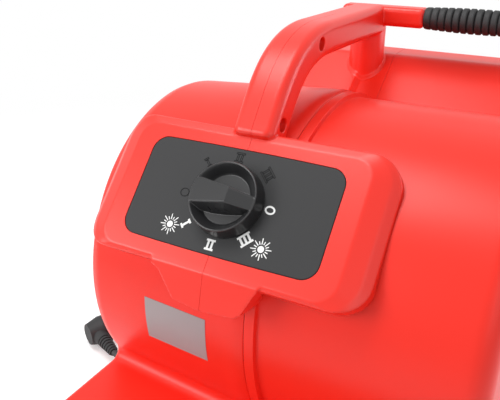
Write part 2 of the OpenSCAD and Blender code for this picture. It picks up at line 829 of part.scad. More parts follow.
// Three-armed bracket that carries the motor from the right drum's wall
bracket_x = 52;
bracket_w = 14;
arm_angles = [30, 150, 270];
mount_h = 8;
mount_site = collar_r - wall - mount_h;
module motor_bracket() color(steel) place() on_axis(bracket_x) {
    difference() {
        cylinder(r = motor_r + 6.5, h = bracket_w);
        translate([0, 0, -eps]) cylinder(r = motor_r + fin_h + 0.05, h = bracket_w + 1);
    }
    for (a = arm_angles) rotate(a) {
        translate([motor_r + 5, -9, 4]) cube([mount_site - motor_r - 5 - 2, 18, 3]);
        translate([mount_site - 3, -11, 0]) cube([3, 22, bracket_w]);
    }
}

module motor_mounts() color(rubber) place() on_axis(bracket_x + bracket_w / 2)
    for (a = arm_angles) rotate(a) intersection() {
        translate([mount_site, 0, 0]) rotate([0, 90, 0]) cylinder(r = 7, h = mount_h + 4);
        translate([0, 0, -10]) cylinder(r = collar_r - wall, h = 20);
    }

// ---- Electrical parts on the base floor ----

floor_z = wall - base_floor;
module capacitor() color([0.8, 0.8, 0.78]) place() translate([70, back_reach - 99, floor_z]) {
    translate([0, 0, 18]) rotate([0, 90, 0]) cylinder(r = 16, h = 62);
    translate([8, -14, 0]) cube([6, 28, 10]);
    translate([48, -14, 0]) cube([6, 28, 10]);
}

module terminal_block() color(ceramic) place() translate([-70, back_reach - 69, floor_z]) difference() {
    union() {
        cube([62, 22, 8]);
        for (i = [0:4]) translate([2 + i * 12, 2, 7]) cube([10, 18, 9]);
    }
    for (i = [0:4]) translate([7 + i * 12, 11, 10]) cylinder(r = 2.5, h = 8);
}

heater_y = 44 - duct_reach;
heater_t = 22;
heater_clear = 3;
heater_left = wall + heater_clear - duct_left;
heater_w = duct_right + duct_left - 2 * (wall + heater_clear);
heater_h = base_floor - duct_roof - 2 * wall;
module heater_frame() color([0.62, 0.60, 0.52]) place() translate([heater_left, heater_y, floor_z]) {
    difference() {
        cube([heater_w, heater_t, heater_h]);
        translate([6, -eps, 6]) cube([heater_w - 12, heater_t + 1, heater_h - 12]);
        heater_rods(heater_r, heater_w + 2, -1);
    }
    for (i = [1:3]) difference() {
        translate([i * heater_w / 4 - 1, 2, 5]) cube([2, heater_t - 4, heater_h - 10]);
        heater_rods(heater_r, heater_w, 0);
    }
}

heater_r = 4;
heater_rows = 4;
module heater_rods(r, length, x) for (i = [1:heater_rows])
    translate([x, heater_t / 2, i * heater_h / (heater_rows + 1)]) rotate([0, 90, 0])
        cylinder(r = r, h = length);

fin_pitch = 8;
module heater_tubes() color(copper) place() translate([heater_left, heater_y, floor_z]) {
    heater_rods(heater_r, heater_w - 4, 2);
    bays = 4;
    fins = floor((heater_w / bays - 16) / fin_pitch);
    for (b = [0:bays - 1], k = [0:fins])
        heater_rods(heater_r + 3, 0.8, b * heater_w / bays + 9 + k * fin_pitch);
}

module thermal_cutout() color(ceramic) place()
    translate([heater_left + 40, heater_y + heater_t, floor_z + heater_h - 5]) rotate([-90, 0, 0]) {
        cylinder(r = 4.5, h = 5);
        translate([-8, -1.5, 0]) cube([16, 3, 1]);
    }

// ---- Feet and fasteners ----

foot_inset = 26;
foot_sites = [for (x = [foot_inset - duct_left, duct_right - foot_inset],
    y = [foot_inset - duct_reach, back_reach - foot_inset]) [x, y]];
module rubber_feet() color(rubber) place() for (s = foot_sites) translate([s[0], s[1], -axis_h]) difference() {
    cylinder(r1 = foot_r - 2, r2 = foot_r, h = foot_h);
    translate([0, 0, -eps]) cylinder(r = 5, h = foot_h / 2 + eps);
    cylinder(r = 2, h = foot_h + 1);
}

module foot_screws() color(steel) place() for (s = foot_sites) translate([s[0], s[1], -axis_h]) {
    translate([0, 0, foot_h / 2]) rotate([180, 0, 0]) cylinder(r = 4, h = 2.5);
    translate([0, 0, foot_h / 2 - 1]) cylinder(r = 2, h = foot_h / 2 + 1);
}

module shell_screws() color(steel) place() for (s = boss_sites) translate([parting_x, s[0], s[1]])
    rotate([0, 90, 0]) {
        translate([0, 0, -10]) cylinder(r = boss_hole, h = boss_seat + 10);
        translate([0, 0, boss_seat]) cylinder(r = 4, h = 3);
    }

// ---- Mains cord: strain relief, lead, coil, tail and plug ----

cord_r = cord_d / 2;
cord_floor = cord_r - axis_h;
relief_len = 42;
relief_end = back_reach + relief_len;
module strain_relief() color(rubber) place() translate([cord_x, back_reach, cord_z]) rotate([-90, 0, 0])
    difference() {
        union() {
            translate([0, 0, -wall]) cylinder(r = gland_r, h = wall);
            translate([0, 0, -wall - 2]) cylinder(r = gland_r + 2, h = 2);
            cylinder(r = gland_r + 3, h = 3);
            cylinder(r1 = 8, r2 = cord_r + 1.2, h = relief_len);
            for (i = [1:6]) translate([0, 0, 3 + i * 5.4]) cylinder(r = 8.6 - i * 0.45, h = 2.6);
        }
        translate([0, 0, -20]) cylinder(r = cord_r, h = 100);
    }

// The coil winds in on the floor, climbs a layer in half a turn and winds out again
coil_x = -20;
coil_y = back_reach + 137;
coil_inner = 32;
coil_gap = 0.5;
coil_back = 3.75;
coil_turns = 7.75;
coil_climb = 0.5;
coil_pitch = cord_d + coil_gap;
coil_rings = 24;
function coil_r(t) = coil_inner + coil_pitch * abs(t - coil_back);
function coil_rise(t) = let (u = (t - coil_back) / coil_climb + 0.5)
    coil_pitch * (1 - cos(180 * min(max(u, 0), 1))) / 2;
function coil_point(t) = let (a = 180 - 360 * t)
    [coil_x + coil_r(t) * cos(a), coil_y + coil_r(t) * sin(a), cord_floor + coil_rise(t)];
coil_steps = round(coil_turns * coil_rings);
coil_start = coil_point(0) - [0, cord_d, 0];
coil_end = coil_point(coil_turns) - [cord_d, 0, 0];
coil_path = concat(
    [coil_start], [for (i = [0:coil_steps]) coil_point(i * coil_turns / coil_steps)], [coil_end]
);
coil_near = min([for (i = [0:coil_steps], j = [i + coil_rings / 2:coil_steps])
    norm(coil_path[i + 1] - coil_path[j + 1])]) - cord_d;
module cord_coil() color(rubber) place() tube(coil_path, cord_r, 6);

lead_path = [
    [cord_x, relief_end, cord_z], [cord_x, relief_end + 14, cord_z - 1],
    [cord_x + 1, relief_end + 32, cord_z - 7], [cord_x + 4, relief_end + 50, cord_z - 18],
    [cord_x + 9, relief_end + 67, cord_z - 29], coil_start - [0, 1.5 * cord_d, 0], coil_start
];
module cord_lead() color(rubber) place() tube(lead_path, cord_r, 8);

// The side-entry plug lies on its rim: its place, its turn on the floor and its neck
plug_r = 18.5;
plug_at = [-268, -23];
plug_turn = -25.6;
plug_t = 26;
neck_reach = 52;
neck_off = 5;
plug_neck = [
    plug_at[0] + neck_reach * cos(plug_turn) + neck_off * sin(plug_turn),
    plug_at[1] + neck_reach * sin(plug_turn) - neck_off * cos(plug_turn), plug_r - axis_h
];

// Places on the floor, with the height of the cord's middle above where it lies
tail_points = [
    [-56, 291, 7], [-72, 290, 4], [-92, 288, 1], [-112, 280, 0], [-130, 266, 0], [-143, 247, 0],
    [-150, 225, 0], [-153, 200, 0], [-154, 176, 0], [-155, 152, 0], [-156, 128, 0], [-156, 104, 0],
    [-155, 80, 0], [-153, 56, 0], [-150, 32, 0], [-147, 10, 0], [-145, -8, 0], [-145, -24, 0],
    [-149, -39, 0], [-159, -51, 0.5], [-173, -58, 2], [-189, -59, 6], [-205, -54, 11.5]
];
tail_path = [
    coil_end, coil_end - [cord_d, 0, 0], for (p = tail_points) [p[0], p[1], cord_floor + p[2]], plug_neck
];
module cord_tail() color(rubber) place() tube(tail_path, cord_r, 8);

// Local X runs out along the cord, Y out along the pins, away from the front
module at_plug() translate([plug_at[0], plug_at[1], plug_r - axis_h]) rotate(plug_turn) children();
module plug() color(black) place() at_plug() difference() {
    union() {
        rotate([-90, 0, 0]) cylinder(r = plug_r, h = 9);
        rotate([90, 0, 0]) cylinder(r1 = plug_r, r2 = plug_r - 5, h = plug_t - 9);
        translate([0, -neck_off, 0]) rotate([0, 90, 0]) cylinder(r1 = 12, r2 = 8.5, h = 24);
        translate([24, -neck_off, 0]) rotate([0, 90, 0])
            cylinder(r1 = 7.5, r2 = cord_r + 1.2, h = neck_reach - 24);
        for (i = [0:4]) translate([26 + i * 5, -neck_off, 0]) rotate([0, 90, 0])
            cylinder(r = 8.4 - i * 0.5, h = 2.8);
    }
    translate([10, -neck_off, 0]) rotate([0, 90, 0]) cylinder(r = cord_r, h = far);
}
module plug_pins() color(steel) place() at_plug() for (side = [-1, 1])
    translate([side * 9.5, 9, 0]) rotate([-90, 0, 0]) cylinder(r = 2.4, h = 19);

// A tube of equal rings swept along points
function unit(v) = v / norm(v);
module tube(p, r, sides) {
    n = len(p);
    rings = [for (i = [0:n - 1]) let (
        t = unit(p[min(i + 1, n - 1)] - p[max(i - 1, 0)]),
        a = unit(cross(t, [0.02, 0.01, 1])),
        b = cross(t, a)
    ) for (k = [0:sides - 1]) p[i] + r * (cos(k * 360 / sides) * a + sin(k * 360 / sides) * b)];
    walls = [
        for (i = [0:n - 2], j = [0:sides - 1]) let (k = (j + 1) % sides, a = i * sides, b = a + sides)
            each [[a + j, a + k, b + k], [a + j, b + k, b + j]]
    ];
    polyhedron(rings, concat(
        walls,
        [[for (j = [sides - 1:-1:0]) j]],
        [[for (j = [0:sides - 1]) (n - 1) * sides + j]]
    ));
}

echo(coil_gap_to_itself = coil_near);

left_shell();
right_shell();
handle_left();
handle_right();
control_plate();
label();
rotary_switch();
switch_nut();
switch_spindle();
knob();
grip_sleeve();
grip_tube();
right_post();
post_screws();
handle_screws();
left_intake_grille();
right_intake_grille();
outlet_grille();
impeller();
impeller_hub();
motor_shaft();
motor_rotor();
motor_stator();
motor_case();
motor_bearings();
motor_bracket();
motor_mounts();
capacitor();
heater_frame();
heater_tubes();
thermal_cutout();
terminal_block();
rubber_feet();
foot_screws();
shell_screws();
strain_relief();
cord_lead();
cord_coil();
cord_tail();
plug();
plug_pins();
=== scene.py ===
import math

import bmesh
import bpy
import numpy as np
from bpy.props import FloatProperty, FloatVectorProperty, IntProperty, PointerProperty
from mathutils import Matrix, Vector
from mathutils.geometry import tessellate_polygon


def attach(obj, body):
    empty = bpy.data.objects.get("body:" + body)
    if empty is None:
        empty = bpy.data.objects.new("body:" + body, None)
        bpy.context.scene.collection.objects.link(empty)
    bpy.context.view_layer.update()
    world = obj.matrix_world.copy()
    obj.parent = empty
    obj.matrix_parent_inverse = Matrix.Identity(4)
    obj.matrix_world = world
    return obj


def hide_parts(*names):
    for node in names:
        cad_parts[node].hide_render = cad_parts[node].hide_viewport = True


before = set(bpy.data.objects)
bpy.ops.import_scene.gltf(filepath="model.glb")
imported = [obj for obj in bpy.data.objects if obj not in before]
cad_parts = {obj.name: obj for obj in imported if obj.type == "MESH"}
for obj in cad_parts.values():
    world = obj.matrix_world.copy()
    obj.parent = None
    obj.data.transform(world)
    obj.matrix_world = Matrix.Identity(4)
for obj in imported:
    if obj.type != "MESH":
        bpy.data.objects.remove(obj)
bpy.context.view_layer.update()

bl_info = {
    "name": "Pet dryer",
    "version": (1, 0, 0),
    "blender": (4, 5, 0),
    "location": "3D View > Sidebar > Pet dryer",
    "description": "Builds the mouldings, grip, knob, dial marks and cord of a centrifugal pet dryer",
    "category": "Add Mesh",
}

MM = 0.001

# Millimetres from the drum axis at the handle seam to the row frame's origin, and the floor's height there
ROW_SHIFT = np.array([-35.0, 15.5, 196.0])
FLOOR_Z = -196.0

# Sizes of the mouldings in millimetres, as the part's source has them; the front facet's form is this file's own.
# Radii of the left drum at the parting line and at its end, and of the right one; their ends and end rounding
DRUM_R, DRUM_LEFT_R, COLLAR_R = 168.0, 158.0, 162.0
LEFT_REACH, RIGHT_REACH, DRUM_EDGE = 145.0, 215.0, 18.0
# The parting line, the far side of the ring, how far and over what length the drum falls to it, the walls
PARTING, RING_END, RING_DROP, ROLL_OFF, WALL = 28.0, 37.0, 2.2, 12.0, 3.0
# Radii of the two intakes and width of their grilles' rims
LEFT_INTAKE, RIGHT_INTAKE, GRILLE_RIM = 92.0, 70.0, 6.0
# The base block that is the air duct: its front, roof, floor, left and right ends, back and the back's rounding
DUCT_REACH, DUCT_ROOF, BASE_FLOOR = 250.0, 88.0, 188.0
DUCT_LEFT, DUCT_RIGHT, BACK_REACH, BACK_ROUND = 135.0, 205.0, 219.0, 10.0
# The beam behind the drum: its top, left end, back edge, the joint of its front facets, its foot, end rounding
BEAM_TOP, BEAM_LEFT, BEAM_BACK, BEAM_JOINT, BEAM_FOOT, BEAM_END = 173.0, 76.0, 10.0, -1.0, -98.0, 7.0
# The front facet: a point on it, its slope, the rounding above it, the step at the joint and half its width
FACET_Y, FACET_Z, FACET_TURN, FACET_EDGE, FACET_STEP, JOINT_REACH = 134.0, 146.0, 36.3, 12.0, 5.0, 4.0
# Places along X at which the beam is cut across about the joint
JOINT_XS = np.linspace(-8.5, 6.5, 15)
# The plate's centre on the panel, the panel's slope and its depth over the right drum; the plate's size
PANEL_Y, PANEL_Z, PANEL_TILT, OVERHANG = 138.443, 110.123, 47.9, 21.0
PLATE_T, PLATE_W, PLATE_H, PLATE_ROUND = 2.5, 175.0, 87.0, 13.0
# The posts' place and radius, the distance between them, and the height of the arm and the grip
POST_Y, POST_R, POST_GAP, ARM_Z = 158.0, 18.5, 184.0, 216.0
# Reach of the switch's opening in the housing to each side, along the panel's slope and below its face
BAY_SIDE, BAY_SLOPE, BAY_DEEP = 25.0, 24.0, 60.0
# Where the long screws of the shells lie behind and above the axis, and the radius of the holes over them
SHELL_SCREWS, DRIVER_R = [(210.0, -179.0), (210.0, 142.0), (-40.0, -179.0)], 4.6


# ---- Frames and small geometry ----

def to_row(points):
    """Shifts points from the drum axis frame in millimetres to the row frame in metres."""
    return (np.asarray(points, dtype=float) + ROW_SHIFT) * MM


PANEL_COS, PANEL_SIN = math.cos(math.radians(PANEL_TILT)), math.sin(math.radians(PANEL_TILT))


def on_panel(points):
    """Turns (along, up the slope, out of the face) about X by the panel's tilt and moves it to the plate's centre."""
    x, v, n = np.moveaxis(np.asarray(points, dtype=float), -1, 0)
    return np.stack(
        [x, v * PANEL_COS - n * PANEL_SIN - PANEL_Y, v * PANEL_SIN + n * PANEL_COS + PANEL_Z], axis=-1)


PANEL_OUT = on_panel([0.0, 0.0, 1.0]) - on_panel([0.0, 0.0, 0.0])


def at_height(outline, height):
    """A flat outline with the same height at all its points."""
    return np.column_stack([outline, np.full(len(outline), height)])


def at_x(x, outline):
    """A flat outline in Y and Z, put at one X."""
    return np.column_stack([np.full(len(outline), x), outline])


def along_x(points, side=1):
    """Turns what was made along Z so that it runs along X, to the right or, with a side of -1, to the left."""
    return np.stack([side * points[..., 2], points[..., 0], points[..., 1]], axis=-1)


def arc(cy, cz, r, start, end, steps):
    """Points centre + r (cos a, sin a) for a running evenly from start to end, in degrees."""
    a = np.radians(np.linspace(start, end, steps + 1))
    return np.stack([cy + r * np.cos(a), cz + r * np.sin(a)], axis=1)


def straight(a, b, steps=4, support=1.5):
    """Points from a to b with one close to each end, so that shading stays flat between them."""
    a, b = np.asarray(a, dtype=float), np.asarray(b, dtype=float)
    length = max(np.linalg.norm(b - a), 1e-6)
    near = min(support / length, 0.2)
    t = np.concatenate([[0.0], np.linspace(near, 1 - near, max(steps - 1, 2)), [1.0]])
    return a + np.outer(t, b - a)


def chain(*runs):
    """Joins runs of points end to end, leaving out each run's repeated first point."""
    return np.concatenate([runs[0]] + [r[1:] for r in runs[1:]])


def inset(distance, radius):
    """Depth of a quarter round edge at a distance from the end: r - sqrt(r^2 - (r - d)^2)."""
    d = np.clip(distance, 0.0, radius)
    return radius - np.sqrt(np.maximum(radius ** 2 - (radius - d) ** 2, 0.0))


def smooth_step(t):
    """The curve 3t^2 - 2t^3 between 0 and 1."""
    t = np.clip(t, 0.0, 1.0)
    return t * t * (3 - 2 * t)


def rounded_outline(width, height, radius, steps=8):
    """Rounded rectangle about the origin, counter-clockwise: straight sides and quarter circles."""
    hx, hy = width / 2 - radius, height / 2 - radius
    corners = [(hx, hy, 0), (-hx, hy, 90), (-hx, -hy, 180), (hx, -hy, 270)]
    return np.concatenate([arc(cx, cy, radius, a, a + 90, steps) for cx, cy, a in corners])


class Surface:
    """Grids and flat caps gathered into one mesh."""

    def __init__(self):
        self.points, self.faces, self.flat, self.count = [], [], [], 0

    def grid(self, points, wrap_cols=False, flip=False, keep=None):
        """Quads between the rows and columns of points, a rows x columns x 3 array."""
        rows, cols = points.shape[:2]
        i, j = np.meshgrid(np.arange(rows - 1), np.arange(cols if wrap_cols else cols - 1), indexing="ij")
        i1, j1 = i + 1, (j + 1) % cols
        quads = np.stack([i * cols + j, i1 * cols + j, i1 * cols + j1, i * cols + j1], axis=-1).reshape(-1, 4)
        flatpoints = points.reshape(-1, 3)
        if keep is not None:
            quads = quads[keep(flatpoints[quads].mean(axis=1))]
        if flip:
            quads = quads[:, ::-1]
        self.faces += (quads + self.count).tolist()
        self.flat += [False] * len(quads)
        self.points.append(flatpoints)
        self.count += len(flatpoints)

    def cap(self, loops, towards):
        """Triangles over a flat outline and its holes, facing the given direction."""
        loops = [np.asarray(loop, dtype=float) for loop in loops]
        points = np.concatenate(loops)
        triangles = np.array(tessellate_polygon([[Vector(p) for p in loop] for loop in loops]))
        a, b, c = points[triangles[:, 0]], points[triangles[:, 1]], points[triangles[:, 2]]
        facing = np.cross(b - a, c - a) @ np.asarray(towards, dtype=float)
        triangles[facing < 0] = triangles[facing < 0][:, ::-1]
        self.faces += (triangles + self.count).tolist()
        self.flat += [True] * len(triangles)
        self.points.append(points)
        self.count += len(points)

    def piece(self, name, sharp=38.0):
        """The mesh as an object in the row frame, doubles merged, with edges sharper than the angle marked."""
        mesh = bpy.data.meshes.new(name)
        mesh.from_pydata(to_row(np.concatenate(self.points)).tolist(), [], self.faces)
        mesh.polygons.foreach_set("use_smooth", [not f for f in self.flat])
        work = bmesh.new()
        work.from_mesh(mesh)
        bmesh.ops.remove_doubles(work, verts=work.verts, dist=0.002 * MM)
        bmesh.ops.dissolve_degenerate(work, edges=work.edges, dist=1e-7)
        work.to_mesh(mesh)
        work.free()
        mesh.validate()
        mesh.set_sharp_from_angle(angle=math.radians(sharp))
        piece = bpy.data.objects.new(name, mesh)
        bpy.context.scene.collection.objects.link(piece)
        return piece


def lathe(profile, steps=96, centre=(0.0, 0.0), axis="x"):
    """Closed solid of revolution of (along, radius) points about an axis; a zero radius makes a pole."""
    profile = np.asarray(profile, dtype=float)
    a = np.linspace(0, 2 * math.pi, steps, endpoint=False)
    along = np.repeat(profile[:, :1], steps, axis=1)
    u, v = profile[:, 1:] * np.cos(a), profile[:, 1:] * np.sin(a)
    order = {"x": (along, u + centre[0], v + centre[1]), "z": (u + centre[0], v + centre[1], along)}[axis]
    surface = Surface()
    surface.grid(np.stack(order, axis=-1), wrap_cols=True)
    return surface


def solid(surface, name, sharp=38.0):
    """The surface as a closed piece whose faces point outwards."""
    piece = surface.piece(name, sharp)
    work = bmesh.new()
    work.from_mesh(piece.data)
    bmesh.ops.recalc_face_normals(work, faces=work.faces)
    if work.calc_volume(signed=True) < 0:
        bmesh.ops.reverse_faces(work, faces=work.faces)
    work.to_mesh(piece.data)
    work.free()
    return piece


def capped(rings, start, end):
    """Closed surface over rings of points, with flat caps that face the two given directions."""
    surface = Surface()
    surface.grid(rings, wrap_cols=True)
    surface.cap([rings[0]], start)
    surface.cap([rings[-1]], end)
    return surface


def prism(outline, low, high, place=None):
    """Closed solid of a flat outline between two heights, put in place by a function of its points."""
    rings = np.stack([at_height(np.asarray(outline, dtype=float), h) for h in (low, high)])
    if place:
        rings = place(rings)
    up = (rings[1] - rings[0]).mean(axis=0)
    return capped(rings, -up, up)


def settled(piece):
    """Takes the result of the piece's modifiers as its own mesh."""
    result = bpy.data.meshes.new_from_object(piece.evaluated_get(bpy.context.evaluated_depsgraph_get()))
    old = piece.data
    piece.modifiers.clear()
    piece.data = result
    if old.users == 0:
        bpy.data.meshes.remove(old)
    return piece


def carved(piece, tools, operation="DIFFERENCE", solver="MANIFOLD"):
    """Cuts each tool out of the piece, or keeps what they share, and removes the tools."""
    for tool in tools:
        cut = piece.modifiers.new("cut", "BOOLEAN")
        cut.operation, cut.object, cut.solver = operation, tool, solver
        settled(piece)
        if not piece.data.polygons:
            raise RuntimeError(f"{piece.name}: nothing is left after the cut by {tool.name}")
        bpy.data.objects.remove(tool)
    return piece


def moulded(name, pieces, voxel, passes):
    """Overlapping solids fused on a fine grid, with their edges softened as a mould's radii are."""
    work = bmesh.new()
    for p in pieces:
        work.from_mesh(p.data)
        bpy.data.objects.remove(p)
    mesh = bpy.data.meshes.new(name)
    work.to_mesh(mesh)
    work.free()
    piece = bpy.data.objects.new(name, mesh)
    bpy.context.scene.collection.objects.link(piece)
    fuse = piece.modifiers.new("fuse", "REMESH")
    fuse.mode, fuse.voxel_size, fuse.adaptivity = "VOXEL", voxel * MM, 0.0
    soften = piece.modifiers.new("soften", "SMOOTH")
    soften.factor, soften.iterations = 0.5, passes
    return settled(piece)


def shaded(piece, angle):
    """Smooth faces with edges over the angle kept sharp."""
    mesh = piece.data
    mesh.polygons.foreach_set("use_smooth", [True] * len(mesh.polygons))
    mesh.set_sharp_from_angle(angle=math.radians(angle))


def finished(piece, material, nodes=(), body="housing"):
    """Gives a piece its material, its body and the CAD nodes it stands for."""
    piece.data.materials.clear()
    piece.data.materials.append(bpy.data.materials[material])
    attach(piece, body)
    if nodes:
        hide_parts(*nodes)


# ---- Settings ----

class PETDRYER_PG_housing(bpy.types.PropertyGroup):
    roof_fillet: FloatProperty(
        name="Roof fillet", description="Radius of the hollow between the drum and the duct roof",
        default=10 * MM, min=2 * MM, max=20 * MM, subtype="DISTANCE", unit="LENGTH")
    beam_fillet: FloatProperty(
        name="Beam fillet", description="Radius of the hollow between the drum and the rear beam",
        default=5 * MM, min=1 * MM, max=12 * MM, subtype="DISTANCE", unit="LENGTH")
    edge: FloatProperty(
        name="Block edge", description="Rounding of the base block's long edges",
        default=5 * MM, min=1 * MM, max=10 * MM, subtype="DISTANCE", unit="LENGTH")
    parting_gap: FloatProperty(
        name="Parting gap", description="Gap between the two shells at the parting line",
        default=0.2 * MM, min=0.05 * MM, max=1 * MM, subtype="DISTANCE", unit="LENGTH")


class PETDRYER_PG_handle(bpy.types.PropertyGroup):
    voxel: FloatProperty(
        name="Mould detail", description="Grid size at which the handle's forms are fused",
        default=0.85 * MM, min=0.8 * MM, max=4 * MM, subtype="DISTANCE", unit="LENGTH")
    seam: FloatProperty(
        name="Seam", description="Gap between the two handle mouldings",
        default=0.3 * MM, min=0.1 * MM, max=1 * MM, subtype="DISTANCE", unit="LENGTH")
    foot_round: FloatProperty(
        name="Foot rounding", description="Rounding of the arch's foot where it ends on the panel",
        default=6 * MM, min=2 * MM, max=8 * MM, subtype="DISTANCE", unit="LENGTH")


class PETDRYER_PG_controls(bpy.types.PropertyGroup):
    mark_reach: FloatProperty(
        name="Mark reach", description="Distance of the printed numerals from the dial's centre",
        default=37 * MM, min=32 * MM, max=42 * MM, subtype="DISTANCE", unit="LENGTH")
    bow: FloatProperty(
        name="Plate bow", description="How far the plate's long edges bow outwards",
        default=1.2 * MM, min=0.0, max=3 * MM, subtype="DISTANCE", unit="LENGTH")


class PETDRYER_PG_cord(bpy.types.PropertyGroup):
    sides: IntProperty(
        name="Sides", description="Facets round the cord", default=14, min=8, max=24)


class PETDRYER_PG_finish(bpy.types.PropertyGroup):
    red: FloatVectorProperty(
        name="Red", description="Colour of the moulded housing",
        default=(0.88, 0.025, 0.012), min=0.0, max=1.0, subtype="COLOR")
    charcoal: FloatVectorProperty(
        name="Charcoal", description="Colour of the control plate",
        default=(0.030, 0.030, 0.031), min=0.0, max=1.0, subtype="COLOR")
    black: FloatVectorProperty(
        name="Black", description="Colour of the knob and the rubber",
        default=(0.018, 0.018, 0.019), min=0.0, max=1.0, subtype="COLOR")


class PETDRYER_PG_stage(bpy.types.PropertyGroup):
    key: FloatProperty(
        name="Key light", description="Power of the large soft light above",
        default=14.0, min=1.0, max=60.0, subtype="POWER", unit="POWER")
    fill: FloatProperty(
        name="Fill light", description="Power of the light on the left and in front",
        default=16.0, min=0.0, max=40.0, subtype="POWER", unit="POWER")
    rim: FloatProperty(
        name="Rim light", description="Power of the light on the right and behind",
        default=12.0, min=0.0, max=40.0, subtype="POWER", unit="POWER")
    side: FloatProperty(
        name="Right light", description="Power of the light on the right and in front",
        default=2.5, min=0.0, max=40.0, subtype="POWER", unit="POWER")
    around: FloatProperty(
        name="Surroundings", description="Brightness of the soft light from all sides",
        default=0.5, min=0.0, max=1.0)


# ---- Housing ----

def drum_radius(x):
    """Outer radius of the drum at x.

    A straight taper on the left that rolls off by a square law before the ring, the ring, then the collar.
    """
    x = np.asarray(x, dtype=float)
    left = DRUM_LEFT_R + (DRUM_R - DRUM_LEFT_R) * (x + LEFT_REACH - DRUM_EDGE) / (PARTING + LEFT_REACH - DRUM_EDGE)
    roll = RING_DROP * np.clip((x - PARTING + ROLL_OFF) / ROLL_OFF, 0, 1) ** 2
    left = left - inset(x + LEFT_REACH, DRUM_EDGE) - roll
    step = smooth_step((x - RING_END + 0.1) / 0.9)
    right = DRUM_R - RING_DROP + (COLLAR_R - DRUM_R + RING_DROP) * step - inset(RIGHT_REACH - x, DRUM_EDGE)
    return np.where(x < PARTING, left, right)


def facet_shift(x):
    """How far the beam's front facet lies forward of its place on the right: one soft step about the joint."""
    past = np.asarray(x, dtype=float) - BEAM_JOINT + JOINT_REACH
    return FACET_STEP * (1 - smooth_step(past / (2 * JOINT_REACH)))


def facet_edges(x, drum, fillet, sunk=0.0):
    """The facet's hollow at the drum and its rounded upper edge at one x, as runs of points, and the hollow's angle.

    The facet is the line n . p = h. The hollow's circle touches it and the drum, so its centre is at
    sqrt((R + f)^2 - (h + f)^2) along the facet; the edge's circle touches it and the beam's top.
    """
    turn = math.radians(FACET_TURN)
    c, s = math.cos(turn), math.sin(turn)
    h = FACET_Z * c - (FACET_Y - float(facet_shift(x))) * s - sunk
    top = BEAM_TOP - sunk
    along = math.sqrt((drum + fillet) ** 2 - (h + fillet) ** 2)
    cy, cz = along * c - (h + fillet) * s, along * s + (h + fillet) * c
    turned = math.degrees(math.atan2(cz, cy))
    edge_y = (c * (top - FACET_EDGE) - h + FACET_EDGE) / s
    hollow = arc(cy, cz, fillet, 180 + turned, 270 + FACET_TURN, 8)
    edge = arc(edge_y, top - FACET_EDGE, FACET_EDGE, 90 + FACET_TURN, 90, 10)
    return hollow, edge, turned


def housing_outline(x, fillet, beam_fillet, edge, with_beam):
    """Outline of the housing across X, from the duct roof's front edge over the drum and the beam to the floor's.

    The drum is a circle about the axis. A fillet of radius f that touches the circle R and the line z = h has
    its centre at (-sqrt((R + f)^2 - (h + f)^2), h + f).
    Returns the points, the index of the drum arc's first and last point, and the first and last index of the
    run behind the drum, which is the beam or the plain back.
    """
    rear_steps = 24
    end = min(x + DUCT_LEFT, DUCT_RIGHT - x)
    r = float(drum_radius(x))
    roof = -DUCT_ROOF - inset(end, edge)
    floor = -BASE_FLOOR + inset(end, edge)
    back = BACK_REACH - inset(end, BACK_ROUND)
    reach = math.sqrt((r + fillet) ** 2 - (roof + fillet) ** 2)
    lean = math.degrees(math.atan2(-(roof + fillet), reach))
    sunk = max(inset(x + BEAM_LEFT, BEAM_END) if with_beam else BEAM_END, inset(DUCT_RIGHT - x, BEAM_END))
    facet_hollow, facet_edge, turn = facet_edges(x, r, beam_fillet, sunk)
    roof_run = straight((-DUCT_REACH, roof), (-reach, roof), 5)
    hollow = arc(-reach, roof + fillet, fillet, -90, lean, 8)
    head = chain(roof_run, hollow, arc(0, 0, r, 180 + lean, turn, 90))
    tail = chain(
        straight((back, BEAM_FOOT), (back, floor + edge), 5),
        arc(back - edge, floor + edge, edge, 0, -90, 5),
        straight((back - edge, floor), (-DUCT_REACH, floor), 8),
    )
    first, last = len(roof_run) + len(hollow) - 2, len(head) - 1
    if with_beam:
        top = BEAM_TOP - sunk
        rear = BACK_REACH - max(inset(x + BEAM_LEFT, BEAM_END), inset(end, BACK_ROUND))
        middle = chain(
            facet_hollow, straight(facet_hollow[-1], facet_edge[0], 6), facet_edge,
            straight(facet_edge[-1], (rear - BEAM_BACK, top), 4),
            arc(rear - BEAM_BACK, top - BEAM_BACK, BEAM_BACK, 90, 0, 8),
            straight((rear, top - BEAM_BACK), (rear, -DUCT_ROOF), 8),
            np.array([[rear, -DUCT_ROOF], [back, BEAM_FOOT]]),
        )
    else:
        last += rear_steps
        middle = chain(
            arc(0, 0, r, turn, -lean, rear_steps),
            arc(reach, roof + fillet, fillet, 180 - lean, 270, 8),
            straight((reach, roof), (back - edge, roof), 4),
            arc(back - edge, roof - edge, edge, 90, 0, 5),
            np.array([[back, roof - edge], [back, BEAM_FOOT]]),
        )
    return chain(head, middle, tail), first, last, (len(head) - 1, len(head) + len(middle) - 2)


def columns_of(xs, settings, with_beam):
    """The outlines at each x as one grid, with the first outline's indices."""
    radii = settings.roof_fillet / MM, settings.beam_fillet / MM, settings.edge / MM
    outlines = [housing_outline(x, *radii, with_beam) for x in xs]
    return np.stack([at_x(x, outline[0]) for x, outline in zip(xs, outlines)]), *outlines[0][1:]


def parting_lips(places, settings):
    """Outlines beside the parting line, each drawn in towards the axis by its depth."""
    lips = []
    for x, depth in places:
        lip = columns_of([x], settings, True)[0]
        ring = lip[0, :, 1:].copy()
        lip[0, :, 1:] -= depth * ring / np.linalg.norm(ring, axis=1, keepdims=True)
        lips.append(lip)
    return lips


# The grille's seat in the drum's end: depth below the end face, and radius past the grille's rim
SEAT = [(0, 1.2), (0.15, 0.4), (0.6, 0.2), (2.4, 0.1), (2.6, -0.3)]


